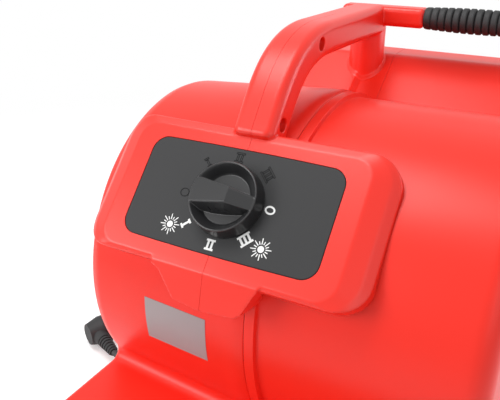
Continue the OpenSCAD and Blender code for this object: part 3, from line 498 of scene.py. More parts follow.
def drum_end(surface, outline, first, last, side):
    """The round end beyond the block: the quarter round edge, the flat face and the grille's stepped seat."""
    ring = outline[:, 1:]
    upper = np.degrees(np.arctan2(ring[first:last + 1, 1], ring[first:last + 1, 0]))
    upper = np.where(upper < -90, upper + 360, upper)
    lower = np.linspace(upper[-1], upper[0] - 360, 60)[1:-1]
    angles = np.radians(np.concatenate([upper, lower]))
    left, right = (LEFT_REACH, DRUM_LEFT_R, LEFT_INTAKE), (RIGHT_REACH, COLLAR_R, RIGHT_INTAKE)
    reach, radius, intake = left if side < 0 else right
    radius -= DRUM_EDGE
    start = math.asin((abs(outline[0, 0]) - reach + DRUM_EDGE) / DRUM_EDGE)
    turns = np.linspace(start, math.pi / 2, 10)
    profile = [(reach - DRUM_EDGE + DRUM_EDGE * math.sin(t), radius + DRUM_EDGE * math.cos(t)) for t in turns]
    profile += [(reach, radius - 1.5), (reach, (radius + intake) / 2)]
    profile += [(reach - deep, intake + GRILLE_RIM + past) for deep, past in SEAT]
    profile = np.array(profile + [(reach - SEAT[-1][0], intake)])
    profile[0, 1] = float(drum_radius(outline[0, 0]))
    along = side * np.repeat(profile[:, :1], len(angles), axis=1)
    grid = np.stack([along, profile[:, 1:] * np.cos(angles), profile[:, 1:] * np.sin(angles)], axis=-1)
    surface.grid(grid, wrap_cols=True, flip=side < 0)
    a = np.radians(lower)
    under = at_x(outline[0, 0], profile[0, 1] * np.column_stack([np.cos(a), np.sin(a)]))
    surface.cap([np.concatenate([outline[last:], outline[:first + 1], under[::-1]])], (side, 0, 0))


def away_from_bay(centres):
    """Keeps what lies outside the opening through which the switch reaches into the housing.

    With y and z taken from the plate's centre, a point is y cos + z sin up the slope and z cos - y sin out.
    """
    y, z = centres[:, 1] + PANEL_Y, centres[:, 2] - PANEL_Z
    slope, height = y * PANEL_COS + z * PANEL_SIN, z * PANEL_COS - y * PANEL_SIN
    return ~((np.abs(centres[:, 0]) < BAY_SIDE) & (np.abs(slope) < BAY_SLOPE) & (height > -BAY_DEEP))


def walled(surface, name):
    """The surface as a moulding with its walls inwards."""
    piece = surface.piece(name)
    wall = piece.modifiers.new("wall", "SOLIDIFY")
    wall.thickness, wall.offset, wall.use_even_offset, wall.use_rim = WALL * MM, -1.0, False, True
    return settled(piece)


def shell_finished(piece, node):
    """Marks the sharp edges, leaves each face's own smoothness, and gives the shell its material and node."""
    piece.data.set_sharp_from_angle(angle=math.radians(38.0))
    finished(piece, "red housing plastic", [node])


def build_left_shell(settings):
    """Left drum with its share of the base block and the beam: outlines stacked along X, walls by Solidify."""
    surface = Surface()
    edge = PARTING - settings.parting_gap / MM / 2
    block = [-135, -134.5, -133.6, -132.4, -131, -129.5, -128, -127, -125.5, -118, -100, -85, -77.5, -76]
    beam = [-76, -75.6, -74.8, -73.6, -72.2, -70.6, -69, -67.5, -50, -30, -25, *JOINT_XS,
            12, 16, 18, 20, 22, 24, 25.5, 26.6, 27.4]
    low, first, last, split = columns_of(block, settings, False)
    high, _, _, split_high = columns_of(beam, settings, True)
    surface.grid(low)
    lips = parting_lips(((edge - 0.22, 0.12), (edge, 0.5)), settings)
    surface.grid(np.concatenate([high] + lips), keep=away_from_bay)
    drum_end(surface, low[0], first, last, -1)
    below = low[-1, split[0]:split[1] + 1][::-1][1:-1]
    surface.cap([np.concatenate([high[0, split_high[0]:split_high[1] + 1], below])], (-1, 0, 0))
    shell_finished(walled(surface, "left_shell_moulding"), "left_shell")


def build_right_shell(settings):
    """Right drum with the ring, the block and the beam up to its end wall, with the holes over the long screws."""
    surface = Surface()
    edge = PARTING + settings.parting_gap / MM / 2
    xs = [28.7, 29.6, 35.8, 36.5, 36.8, 36.95, 37.1, 37.3, 37.5, 37.75, 38.2, 39.5, 60, 90, 130, 165, 190,
          195.5, 197, 198.2, 199.4, 200.6, 201.8, 202.8, 203.6, 204.3, 204.8, 205]
    body, first, last, _ = columns_of(xs, settings, True)
    lips = parting_lips(((edge, 0.5), (edge + 0.22, 0.12)), settings)
    surface.grid(np.concatenate(lips + [body]), keep=away_from_bay)
    drum_end(surface, body[-1], first, last, 1)
    piece = walled(surface, "right_shell_moulding")
    near, far = DUCT_RIGHT - 20, DUCT_RIGHT + 10
    rod = [(near, 0), (near, DRIVER_R), (far, DRIVER_R), (far, 0)]
    carved(piece, [solid(lathe(rod, 32, site), "driver_hole") for site in SHELL_SCREWS], solver="EXACT")
    shell_finished(piece, "right_shell")


class PETDRYER_OT_housing(bpy.types.Operator):
    """Build the two drum shells with the duct, the ring and the rear beam"""
    bl_idname = "petdryer.housing"
    bl_label = "Housing shells"

    def execute(self, context):
        settings = context.scene.petdryer_housing
        build_left_shell(settings)
        build_right_shell(settings)
        return {"FINISHED"}


# ---- Handle and panel mouldings ----

PANEL_W, PANEL_UP, PANEL_DOWN = 252.0, 63.0, 60.0
# Rings round the panel: drawn in at the ends, above and below, corner radius, depth at the ends, above and below
PANEL_RINGS = [
    (0.0, 0.0, 2.5, 26.0, 34.0, 34.0, 34.0), (0.0, 0.0, 0.0, 26.0, 12.6, 4.6, 3.6),
    (0.3, 0.2, 0.1, 25.8, 11.8, 3.6, 2.9), (1.2, 0.8, 0.5, 25.3, 11.0, 2.7, 2.3),
    (6.2, 1.6, 0.9, 22.8, 6.6, 2.3, 2.0), (7.6, 2.2, 1.2, 22.0, 5.7, 2.1, 1.8),
    (20.0, 7.2, 3.0, 17.0, 0.35, 0.3, 0.4), (20.8, 7.8, 3.6, 16.4, 0.1, 0.1, 0.1),
    (21.4, 8.4, 4.2, 16.0, 0.0, 0.0, 0.0),
]
# Where the arch's foot starts up the slope and how deep it lies; the crown, the end and the section of the arch
FOOT_START, FOOT_DEEP = 56.0, 9.0
ARCH_CROWN = np.array([[-52.0, 216.0], [18.0, 214.0]])
ARCH_END = np.array([158.0, 212.0])
HANDLE_W, HANDLE_D, ARCH_ROUND = 38.0, 30.0, 8.0
# Depth, height, rounding, end bevel and reach of the arm, and the grip's start and length
ARM_D, ARM_H, ARM_ROUND, ARM_BEVEL, ARM_REACH, GRIP_START, GRIP_LEN = 22.0, 20.0, 5.0, 2.5, 28.0, 61.0, 102.0
# Where the screws across the seam are, and their bores as distances from the seam and radii
SCREW_SITES = [(-83.64, 160.33), (-12.0, 213.0)]
SCREW_BORE = [(9, 0), (9, 6), (18.4, 6.0), (18.9, 6.4), (19.3, 7.2), (40, 7.2), (40, 0)]
APRON = [(-49, 14), (-49, -6), (-42, -9), (-26, -30), (0, -33.5), (31, -30), (36, -26), (51, 3), (51, 14)]
# The lean of the apron's front from the upright, how far it goes back, and its place from the plate's centre
APRON_LEAN, APRON_BACK, APRON_AHEAD, APRON_BELOW = 13.4, 40.0, 39.4, 42.1


def panel_box():
    """Rounded box with flat bevels round its face: wide and steep at the ends, narrow above, narrower below.

    A point of the outline whose normal makes the angle a with the panel's length lies at the depth
    d_end cos^2 a + d_side sin^2 a.
    """
    rings = []
    for in_x, in_top, in_low, r, d_end, d_top, d_low in PANEL_RINGS:
        hx, top, low = PANEL_W / 2 - in_x - r, PANEL_UP - in_top - r, in_low + r - PANEL_DOWN
        spots = [(hx, top, 0), (-hx, top, 90), (-hx, low, 180), (hx, low, 270)]
        outline = np.concatenate([arc(cx, cy, r, a, a + 90, 16) for cx, cy, a in spots])
        a = np.radians(np.concatenate([np.linspace(start, start + 90, 17) for _, _, start in spots]))
        side = np.where(np.sin(a) > 0, d_top, d_low)
        rings.append(np.column_stack([outline, -(d_end * np.cos(a) ** 2 + side * np.sin(a) ** 2)]))
    return capped(on_panel(rings), -PANEL_OUT, PANEL_OUT)


def on_slope(v, n):
    """The place in the Y-Z plane that lies v up the panel's slope and n out of its face."""
    return on_panel([0.0, v, n])[1:]


def arch_sweep(toe):
    """Rounded section carried along the panel's slope, a cubic curve up to the crown and a straight run.

    The foot's end is round: at a distance d from it the section is drawn in by r - sqrt(r^2 - (r - d)^2).
    """
    q = np.radians(np.linspace(0, 80, 9))
    start = np.array([on_slope(FOOT_START + toe * (1 - math.cos(a)), -FOOT_DEEP) for a in q])
    t = np.linspace(0, 1, 61)[:, None]
    a, b = on_slope(FOOT_START + toe, -FOOT_DEEP), on_slope(98.0, -7.6)
    curve = (1 - t) ** 3 * a + 3 * t * (1 - t) ** 2 * b + 3 * t * t * (1 - t) * ARCH_CROWN[0] + t ** 3 * ARCH_CROWN[1]
    run = ARCH_CROWN[1] + (ARCH_END - ARCH_CROWN[1]) * np.linspace(0, 1, 30)[1:, None]
    path = np.concatenate([start, curve, run])
    drawn = np.concatenate([toe * (1 - np.sin(q)), np.zeros(len(curve) + len(run))])
    heading = np.gradient(path, axis=0)
    heading /= np.linalg.norm(heading, axis=1, keepdims=True)
    section = rounded_outline(HANDLE_W, HANDLE_D, ARCH_ROUND, 8)
    out = section / np.linalg.norm(section, axis=1, keepdims=True)
    section = section[None] - drawn[:, None, None] * out[None]
    y = path[:, :1] - section[..., 1] * heading[:, 1:]
    z = path[:, 1:] + section[..., 1] * heading[:, :1]
    return capped(np.stack([section[..., 0], y, z], axis=-1), (0, 0, -1), (0, 1, 0))


def apron_prism():
    """The apron's outline set back into the drum along its leaning front."""
    slope = math.radians(90 - APRON_LEAN)
    c, s = math.cos(slope), math.sin(slope)

    def place(p):
        y, z = p[..., 1] * c - p[..., 2] * s, p[..., 1] * s + p[..., 2] * c
        return np.stack([p[..., 0], y - PANEL_Y - APRON_AHEAD, z + PANEL_Z - APRON_BELOW], axis=-1)

    return prism(APRON, -APRON_BACK, 0.0, place)


def cross_arm(x0, x1):
    """Flat-faced bar along X behind the arch, bevelled at its two ends."""
    rings = []
    for x, i in ((x0, ARM_BEVEL), (x0 + ARM_BEVEL, 0.0), (x1 - ARM_BEVEL, 0.0), (x1, ARM_BEVEL)):
        outline = rounded_outline(ARM_D - 2 * i, ARM_H - 2 * i, max(ARM_ROUND - i, 1.0), 8)
        rings.append(at_x(x, outline + [POST_Y, ARM_Z]))
    return capped(np.array(rings), (-1, 0, 0), (1, 0, 0))


def foot_ramp(x, y):
    """Height of the beam under the post: its front facet, then its level top."""
    slope = math.tan(math.radians(FACET_TURN))
    return np.minimum(FACET_Z + (y - FACET_Y + facet_shift(x)) * slope, BEAM_TOP)


def turned_on_ramp(cx, profile, steps=96):
    """Rings round the post's axis, each with a radius, a height, and 1 where the height is above the ramp, else 0."""
    a = np.linspace(0, 2 * math.pi, steps, endpoint=False)
    rings = []
    for radius, height, follows in profile:
        x, y = cx + radius * np.cos(a), POST_Y + radius * np.sin(a)
        rings.append(np.stack([x, y, height + follows * foot_ramp(x, y)], axis=-1))
    surface = Surface()
    surface.grid(np.array(rings), wrap_cols=True, flip=True)
    return surface


def post(cx):
    """Upright post that stands on the ramp and tapers off inside the arm."""
    return turned_on_ramp(cx, [
        (0.0, 0.0, 1), (POST_R, 0.0, 1), (POST_R, 3.0, 1), (POST_R, ARM_Z - 10, 0), (POST_R - 0.5, ARM_Z - 3, 0),
        (POST_R - 3, ARM_Z + 3, 0), (POST_R - 7, ARM_Z + 7, 0), (POST_R - 12, ARM_Z + 9, 0), (0.0, ARM_Z + 9.5, 0),
    ])


def post_collar(cx):
    """Thin ring that follows the ramp round the post's foot."""
    return turned_on_ramp(cx, [
        (0.0, -6.0, 1), (POST_R + 2.5, -6.0, 1), (POST_R + 2.5, 0.5, 1), (POST_R + 1.9, 1.3, 1),
        (POST_R + 0.9, 1.9, 1), (POST_R - 1, 2.2, 1), (0.0, 2.2, 1),
    ])


def beam_cutter():
    """The beam with its facet, its rounded edge and plain sides, which reach past it behind, below and on the right."""
    rings = []
    for x in (-BEAM_LEFT, -40.0, *JOINT_XS, 40.0, 240.0):
        hollow, edge, _ = facet_edges(x, DRUM_R - 12, 1.0)
        low = [[BACK_REACH + 5, BEAM_TOP], [BACK_REACH + 5, -100.0], [hollow[-1][0] - 4, -100.0]]
        rings.append(at_x(x, np.concatenate([hollow[-1:], edge, low])))
    return solid(capped(np.array(rings), (-1, 0, 0), (1, 0, 0)), "cut_beam")


def drum_cutters():
    """The two drums, and what hangs too low over the right one."""
    start, bend, past = -LEFT_REACH - 5, DRUM_EDGE - LEFT_REACH, COLLAR_R + 1
    left = [(start, 0), (start, DRUM_LEFT_R), (bend, DRUM_LEFT_R), (PARTING, DRUM_R), (PARTING, 0)]
    right = [(PARTING - 1, 0), (PARTING - 1, DRUM_R), (RING_END, DRUM_R), (RING_END, past), (230, past), (230, 0)]
    overhang = prism(rounded_outline(200, 400, 1.0), -300.0, -OVERHANG, lambda p: on_panel(p + [140.0, 0, 0]))
    return [solid(lathe(left, 180), "cut_left_drum"), solid(lathe(right, 180), "cut_right_drum"),
            solid(overhang, "cut_overhang")]


def plate_outline(grow, bow):
    """Rounded rectangle grown on all sides, whose long edges bow out by b (1 - (x / half)^2) about their middle."""
    side, corner = PLATE_H / 2, 11
    outline = rounded_outline(PLATE_W + 2 * grow, PLATE_H + 2 * grow, PLATE_ROUND + grow, corner - 1)
    t = np.linspace(1, -1, 25)[1:-1] * (PLATE_W / 2 - PLATE_ROUND)
    top = np.column_stack([t, np.full(len(t), side + grow)])
    outline = np.concatenate([outline[:corner], top, outline[corner:3 * corner], -top, outline[3 * corner:]])
    lift = bow * np.maximum(1 - (outline[:, 0] / (PLATE_W / 2 + 0.5)) ** 2, 0)
    outline[:, 1] += np.sign(outline[:, 1]) * lift * np.clip(np.abs(outline[:, 1]) / side, 0, 1)
    return outline


def handle_finished(piece, node):
    """Smooths a handle moulding and gives it its material and node."""
    shaded(piece, 32.0)
    finished(piece, "red handle plastic", [node])


class PETDRYER_OT_handle(bpy.types.Operator):
    """Build the two mirrored mouldings of the panel, the apron, the arch and the post"""
    bl_idname = "petdryer.handle"
    bl_label = "Handle mouldings"

    def execute(self, context):
        settings = context.scene.petdryer_handle
        bow = context.scene.petdryer_controls.bow / MM
        voxel = settings.voxel / MM * 1.0
        above = solid(prism(rounded_outline(400, 400, 1.0), -0.05, 90.0, on_panel), "above_face")
        apron = carved(solid(apron_prism(), "form_apron"), [above])
        whole = moulded("handle_moulding", [
            solid(panel_box(), "form_panel"), solid(arch_sweep(settings.foot_round / MM), "form_arch"), apron,
            solid(cross_arm(-ARM_REACH, GRIP_START), "form_arm"), solid(post(0.0), "form_post"),
            solid(post_collar(0.0), "form_collar"),
        ], voxel, 3)
        recess = prism(plate_outline(0.4, bow), -PLATE_T, 4.0, on_panel)
        bay = prism(rounded_outline(90, 48, 2.0), -40.0, -0.5, on_panel)
        bores = [solid(lathe(SCREW_BORE, 48, site), "bore") for site in SCREW_SITES]
        gap = settings.seam / MM / 2
        groove = prism([(-300, -100), (60, -100), (60, 300), (-300, 300)], -gap, gap, along_x)
        carved(whole, [beam_cutter(), *drum_cutters()])
        carved(whole, [solid(recess, "recess"), solid(bay, "bay"), *bores, solid(groove, "groove")])
        for side, node in ((-1, "handle_left"), (1, "handle_right")):
            half = whole.copy()
            half.data = whole.data.copy()
            half.name = f"{node}_moulding"
            context.scene.collection.objects.link(half)
            keep = prism(rounded_outline(800, 800, 1.0), 0.01, 300.0, lambda p: along_x(p, side))
            carved(half, [solid(keep, "half")], "INTERSECT")
            handle_finished(half, node)
        bpy.data.objects.remove(whole)
        right = moulded("right_post_moulding", [
            solid(post(POST_GAP), "form_post"), solid(post_collar(POST_GAP), "form_collar"),
            solid(cross_arm(GRIP_START + GRIP_LEN, POST_GAP + 14), "form_arm"),
        ], voxel, 3)
        handle_finished(carved(right, [beam_cutter()]), "right_post")
        return {"FINISHED"}


# ---- Rubber grip ----

class PETDRYER_OT_grip(bpy.types.Operator):
    """Build the ribbed rubber sleeve on the cross tube"""
    bl_idname = "petdryer.grip"
    bl_label = "Rubber grip"

    def execute(self, context):
        ribs, inner, outer = 14, 8.05, 11.0
        u = np.linspace(0, ribs, ribs * 16 + 1)
        wave = np.clip(1.25 * np.sin(math.pi * (u % 1.0)) ** 0.55, 0, 1)
        swell = 1.6 * np.sin(math.pi * u / ribs)
        profile = np.column_stack([GRIP_START + u * (GRIP_LEN / ribs), outer - 1.0 + wave * (1.0 + swell)])
        profile[0, 1] = profile[-1, 1] = outer - 0.6
        start, end = (GRIP_START + 0.1, inner), (GRIP_START + GRIP_LEN - 0.1, inner)
        sleeve = solid(lathe([start, *profile, end, start], 72, (POST_Y, ARM_Z)), "rubber_grip")
        finished(sleeve, "grip rubber", ["grip_sleeve"])
        return {"FINISHED"}


# ---- Plate, knob and dial marks ----

class PETDRYER_OT_plate(bpy.types.Operator):
    """Build the dark control plate with its bowed edges"""
    bl_idname = "petdryer.plate"
    bl_label = "Control plate"

    def execute(self, context):
        bow = context.scene.petdryer_controls.bow / MM
        steps = ((0.0, -PLATE_T), (0.0, -0.7), (-0.1, -0.35), (-0.3, -0.12), (-0.7, 0.0))
        rings = on_panel([at_height(plate_outline(grow, bow), n) for grow, n in steps])
        plate = solid(capped(rings, -PANEL_OUT, PANEL_OUT), "dark_plate")
        finished(plate, "plate plastic", ["control_plate"])
        return {"FINISHED"}


# The knob's gap over the plate, its radius, the heights of its rim and its floor, the crease's place and height
KNOB_LIFT, KNOB_R, KNOB_TOP, KNOB_FLOOR, CREASE_X, CREASE_N = 0.7, 30.3, 13.9, 5.5, 8.0, 22.3


def placed_on_panel(surface):
    """Turns a surface made about the dial's middle on to the panel."""
    surface.points = [on_panel(p) for p in surface.points]
    return surface


def turned_on_panel(profile, steps):
    """Solid of revolution about the dial's axis."""
    return placed_on_panel(lathe(profile, steps, axis="z"))


def knob_skirt():
    """Turned body: a skirt that leans in to a crisp rim, a sloping bowl and its flat floor."""
    return turned_on_panel([
        (KNOB_LIFT, 0), (KNOB_LIFT, KNOB_R - 0.4), (KNOB_LIFT + 0.5, KNOB_R), (2.5, KNOB_R - 0.1),
        (KNOB_TOP - 0.5, 28.7), (KNOB_TOP, 28.2), (KNOB_TOP, 27.5), (KNOB_TOP - 0.4, 27.1),
        (KNOB_FLOOR + 1.0, 21.6), (KNOB_FLOOR, 20.4), (KNOB_FLOOR, 0)
    ], 144)


def knob_bar():
    """Bar across the bowl, as sections along it: a top of two planes that meet in a crease, and leaning flanks.

    The top's height falls from the crease in straight lines to both ends. The front flank leans out from the
    top's edge to a lip, and the foot below the lip stands upright.
    """
    x = np.array([-29.5, -26.2, -21.0, -18.8, -13.0, -7.2, -2.0, 3.7, 7.9, 8.1, 12.0, 17.4, 21.0, 24.1, 27.0, 29.5])
    top = np.where(x < CREASE_X, np.interp(x, [-28.0, CREASE_X], [13.7, CREASE_N]),
                   np.interp(x, [CREASE_X, 28.0], [CREASE_N, 13.7]))
    front = np.interp(x, [-28.0, CREASE_X, 28.0], [10.1, 6.2, 5.9])
    back = np.interp(x, [-28.0, -21.0, CREASE_X, 28.0], [10.4, 10.6, 6.2, 4.7])
    lip = np.interp(
        x, [-29.5, -26.2, -18.8, -7.2, 3.7, 17.4, 24.1, 29.5], [11.7, 12.2, 12.9, 13.1, 12.0, 9.3, 7.2, 6.9])
    foot = np.maximum(np.interp(x, [-29.5, -21.0, CREASE_X, 29.5], [12.0, 12.0, 8.6, 6.2]), back + 0.1)
    strip = np.where(x < CREASE_X, 0.5, 1.5)
    rings = np.array([
        at_x(along, [(-lp, 2.0), (-lp, 7.5), (-lp + 0.3, 8.1), (-f - 0.35, t - 0.8), (-f + 0.35, t), (b - e, t),
                     (b, t - 0.7 * e), (ft, 7.0), (ft, 2.0)])
        for along, lp, f, t, b, e, ft in zip(x, lip, front, top, back, strip, foot)
    ])
    return placed_on_panel(capped(rings, (-1, 0, 0), (1, 0, 0)))


class PETDRYER_OT_knob(bpy.types.Operator):
    """Build the rotary knob"""
    bl_idname = "petdryer.knob"
    bl_label = "Rotary knob"

    def execute(self, context):
        bound = turned_on_panel([(1.5, 0), (1.5, 29.4), (KNOB_TOP, 28.2), (25, 27.2), (25, 0)], 144)
        bar = carved(solid(knob_bar(), "form_bar"), [solid(bound, "bound")], "INTERSECT")
        detail = 0.3
        whole = moulded("knob_moulding", [solid(knob_skirt(), "form_skirt"), bar], detail, 2)
        tools = []
        for upper, lower in ((-8.5, -6.3), (-1.9, 0.9), (4.5, 8.3)):
            slot = [(upper - 0.5, 12.6), (upper + 0.6, 12.6), (lower + 0.6, 8.7), (lower - 0.5, 8.7)]
            upright = prism(slot, 8.2, 15.0, lambda p: on_panel(np.stack([p[..., 0], -p[..., 2], p[..., 1]], axis=-1)))
            tools.append(solid(upright, "slot"))
        hollow = [(-1, 0), (-1, 10.5), (4.3, 10.5), (4.3, 5.4), (5.3, 5.4), (5.3, 3.0), (12.0, 3.0), (12.0, 0)]
        carved(whole, [*tools, solid(turned_on_panel(hollow, 48), "hollow")])
        shaded(whole, 30.0)
        finished(whole, "knob plastic", ["knob"], "dial")
        return {"FINISHED"}


def numeral(strokes):
    """Upright bars with one long serif above and below, as outlines in millimetres about the middle."""
    pitch, bar, height, serif = 3.5, 1.9, 9.0, 1.7
    width = pitch * (strokes - 1)
    shapes = []
    for k in range(strokes):
        x = k * pitch - width / 2
        shapes.append(np.array([[x - bar / 2, -height / 2 + serif], [x + bar / 2, -height / 2 + serif],
                                [x + bar / 2, height / 2 - serif], [x - bar / 2, height / 2 - serif]]))
    reach = width / 2 + bar / 2 + 1.2
    for y0 in (-height / 2, height / 2 - serif):
        shapes.append(np.array([[-reach, y0], [reach, y0], [reach, y0 + serif], [-reach, y0 + serif]]))
    return shapes


def sun():
    """A disc with sixteen thin rays, long and short in turn."""
    shapes = [arc(0, 0, 2.7, 0, 360, 24)[:-1]]
    for k in range(16):
        a = math.radians(k * 22.5 + 6)
        c, s = math.cos(a), math.sin(a)
        reach = 6.6 if k % 2 else 8.7
        ray = np.array([[3.9, -0.42], [reach, -0.36], [reach, 0.36], [3.9, 0.42]])
        shapes.append(np.column_stack([ray[:, 0] * c - ray[:, 1] * s, ray[:, 0] * s + ray[:, 1] * c]))
    return shapes


def ring_shape(outer, stroke):
    """An oval ring from its two half widths and its stroke, as a pair of outer and inner outlines."""
    a = np.linspace(0, 2 * math.pi, 33)[:-1]
    turn = np.column_stack([np.cos(a), np.sin(a)])
    return turn * outer, turn * (np.asarray(outer) - stroke)


def traced(shapes, line=0.45):
    """Thin frames round the outlines, each drawn in by the width of a line."""
    frames = []
    for p in shapes:
        middle = p.mean(axis=0)
        half = np.abs(p - middle).max(axis=0)
        frames.append((p, middle + (p - middle) * (1 - line / half)))
    return frames


def marks_surface(raised, places):
    """Thin flat shapes, some with a hole, each group turned about its middle and set on the plate at its place."""
    surface = Surface()
    for shapes, cx, cy, turn in places:
        c, s = math.cos(math.radians(turn)), math.sin(math.radians(turn))
        for shape in shapes:
            loops = shape if isinstance(shape, tuple) else (shape,)
            flat = [np.column_stack([cx + p[:, 0] * c - p[:, 1] * s, cy + p[:, 0] * s + p[:, 1] * c]) for p in loops]
            low, high = [[on_panel(at_height(p, n)) for p in flat] for n in (-0.02, raised)]
            for k, rings in enumerate(zip(low, high)):
                surface.grid(np.stack(rings), wrap_cols=True, flip=k == 0)
            surface.cap(high, PANEL_OUT)
            surface.cap(low, -PANEL_OUT)
    return surface


class PETDRYER_OT_marks(bpy.types.Operator):
    """Print the speed and heat marks round the knob and raise the plain ones behind it"""
    bl_idname = "petdryer.marks"
    bl_label = "Dial marks"

    def execute(self, context):
        settings = context.scene.petdryer_controls
        grow = settings.mark_reach / MM / 37.0
        printed = [
            ([ring_shape((4.5, 3.5), 1.5)], 36.2, 0.9, -8.0), (numeral(3), 24.6, -25.7, 45.0),
            (numeral(2), -2.6, -36.7, 0.0), (numeral(1), -30.0, -25.2, -47.0),
            (sun(), -43.8, -28.9, 0.0), (sun(), 39.6, -29.9, 0.0),
        ]
        places = [(shapes, x * grow, y * grow, turn) for shapes, x, y, turn in printed]
        piece = marks_surface(0.05, places).piece("printed_marks")
        finished(piece, "white print")
        raised = [
            ([ring_shape((4.1, 3.7), 0.6)], -41.3, -0.5, 0.0), (traced(numeral(1)), -30.4, 28.2, 45.0),
            (traced(numeral(2)), -4.2, 37.4, 0.0), (traced(numeral(3)), 24.5, 28.1, -45.0),
        ]
        piece = marks_surface(0.22, raised).piece("raised_marks")
        finished(piece, "raised mark plastic")
        return {"FINISHED"}


# ---- Mains cord ----

# Where the cord leaves the back, the end of its strain relief and the cord's diameter
CORD_X, CORD_Z, RELIEF_END, CORD_D = -96.0, -160.0, 261.0, 8.0
# The coil: its middle, innermost radius, turns, the turn at which it goes to the upper layer, the lower layer's height
COIL = {"x": -20.0, "y": 356.0, "inner": 32.0, "pitch": 8.5, "back": 3.75, "turns": 7.75, "climb": 0.5, "low": -192.0}
# The cord's way on the floor from the coil to the plug; then the plug's place, turn and radius, and its neck's
TAIL = [
    (-56, 291, -185), (-72, 290, -188), (-92, 288, -191), (-112, 280, -192), (-130, 266, -192), (-143, 247, -192),
    (-150, 225, -192), (-153, 200, -192), (-154, 176, -192), (-155, 152, -192), (-156, 128, -192),
    (-156, 104, -192), (-155, 80, -192), (-153, 56, -192), (-150, 32, -192), (-147, 10, -192), (-145, -8, -192),
    (-145, -24, -192), (-149, -39, -192), (-159, -51, -191.5), (-173, -58, -190), (-189, -59, -186),
    (-205, -54, -180.5),
]
PLUG_AT, PLUG_TURN, PLUG_R, NECK_REACH, NECK_OFF = (-268.0, -23.0), -25.6, 18.5, 52.0, 5.0


def coil_points():
    """Spiral r = inner + pitch |t - back| at angle 180 - 360 t, which climbs one pitch in the half turn at back."""
    t = np.arange(int(COIL["turns"] * 24) + 1) / 24
    r = COIL["inner"] + COIL["pitch"] * np.abs(t - COIL["back"])
    u = np.clip((t - COIL["back"]) / COIL["climb"] + 0.5, 0, 1)
    rise = COIL["pitch"] * (1 - np.cos(math.pi * u)) / 2
    a = np.radians(180 - 360 * t)
    return np.column_stack([COIL["x"] + r * np.cos(a), COIL["y"] + r * np.sin(a), COIL["low"] + rise])


def rounded_path(points, step=3.0):
    """Curve through the points: half of 2b + (c - a) t + (2a - 5b + 4c - d) t^2 + (3b - a - 3c + d) t^3."""
    p = np.asarray(points, dtype=float)
    p = np.concatenate([[2 * p[0] - p[1]], p, [2 * p[-1] - p[-2]]])
    runs = []
    for a, b, c, d in zip(p[:-3], p[1:-2], p[2:-1], p[3:]):
        n = max(int(np.linalg.norm(c - b) / step), 1)
        t = np.linspace(0, 1, n + 1)[:-1, None]
        square, cube = 2 * a - 5 * b + 4 * c - d, 3 * b - a - 3 * c + d
        runs.append(0.5 * (2 * b + (c - a) * t + square * t ** 2 + cube * t ** 3))
    return np.concatenate(runs + [p[-2][None]])


def tube(path, radius, sides):
    """Rings of a round section square to the path, each turned as little as possible from an upright reference."""
    along = np.gradient(path, axis=0)
    along /= np.linalg.norm(along, axis=1, keepdims=True)
    side = np.cross(along, np.array([0.02, 0.01, 1.0]))
    side /= np.linalg.norm(side, axis=1, keepdims=True)
    over = np.cross(along, side)
    a = np.linspace(0, 2 * math.pi, sides, endpoint=False)
    c, s = np.cos(a)[None, :, None], np.sin(a)[None, :, None]
    return capped(path[:, None] + radius * (c * side[:, None] + s * over[:, None]), -along[0], along[-1])


def cord_route():
    """The lead from the strain relief, the coil and the tail to the plug's neck."""
    coil = coil_points()
    start, end = coil[0] - np.array([0, CORD_D, 0]), coil[-1] - np.array([CORD_D, 0, 0])
    lead = [
        (CORD_X, RELIEF_END, CORD_Z), (CORD_X, RELIEF_END + 14, CORD_Z - 1), (CORD_X + 1, RELIEF_END + 32, CORD_Z - 7),
        (CORD_X + 4, RELIEF_END + 50, CORD_Z - 18), (CORD_X + 9, RELIEF_END + 67, CORD_Z - 29),
        start - np.array([0, 1.5 * CORD_D, 0]), start,
    ]
    c, s = math.cos(math.radians(PLUG_TURN)), math.sin(math.radians(PLUG_TURN))
    neck_x, neck_y = PLUG_AT[0] + NECK_REACH * c + NECK_OFF * s, PLUG_AT[1] + NECK_REACH * s - NECK_OFF * c
    tail = [end, end - np.array([CORD_D, 0, 0]), *TAIL, (neck_x, neck_y, PLUG_R + FLOOR_Z)]
    return np.concatenate([rounded_path(lead)[:-1], [start], coil, rounded_path(tail)])


class PETDRYER_OT_cord(bpy.types.Operator):
    """Build the mains cord along its route"""
    bl_idname = "petdryer.cord"
    bl_label = "Mains cord"

    def execute(self, context):
        route = cord_route()
        piece = solid(tube(route, CORD_D / 2, context.scene.petdryer_cord.sides), "mains_cord", sharp=60.0)
        finished(piece, "cord rubber", ["cord_lead", "cord_coil", "cord_tail"])
        return {"FINISHED"}


# ---- Materials ----

def fill(tree, node, inputs):
    """Sets inputs of a shader node, by name or number: to a value, or linked to another node's output."""
    for key, value in inputs.items():
        if isinstance(value, bpy.types.NodeSocket):
            tree.links.new(value, node.inputs[key])
        else:
            node.inputs[key].default_value = value


def added(tree, kind, inputs, **options):
    """The outputs of a new shader node with the given options and inputs."""
    node = tree.nodes.new("ShaderNode" + kind)
    for key, value in options.items():
        setattr(node, key, value)
    fill(tree, node, inputs)
    return node.outputs


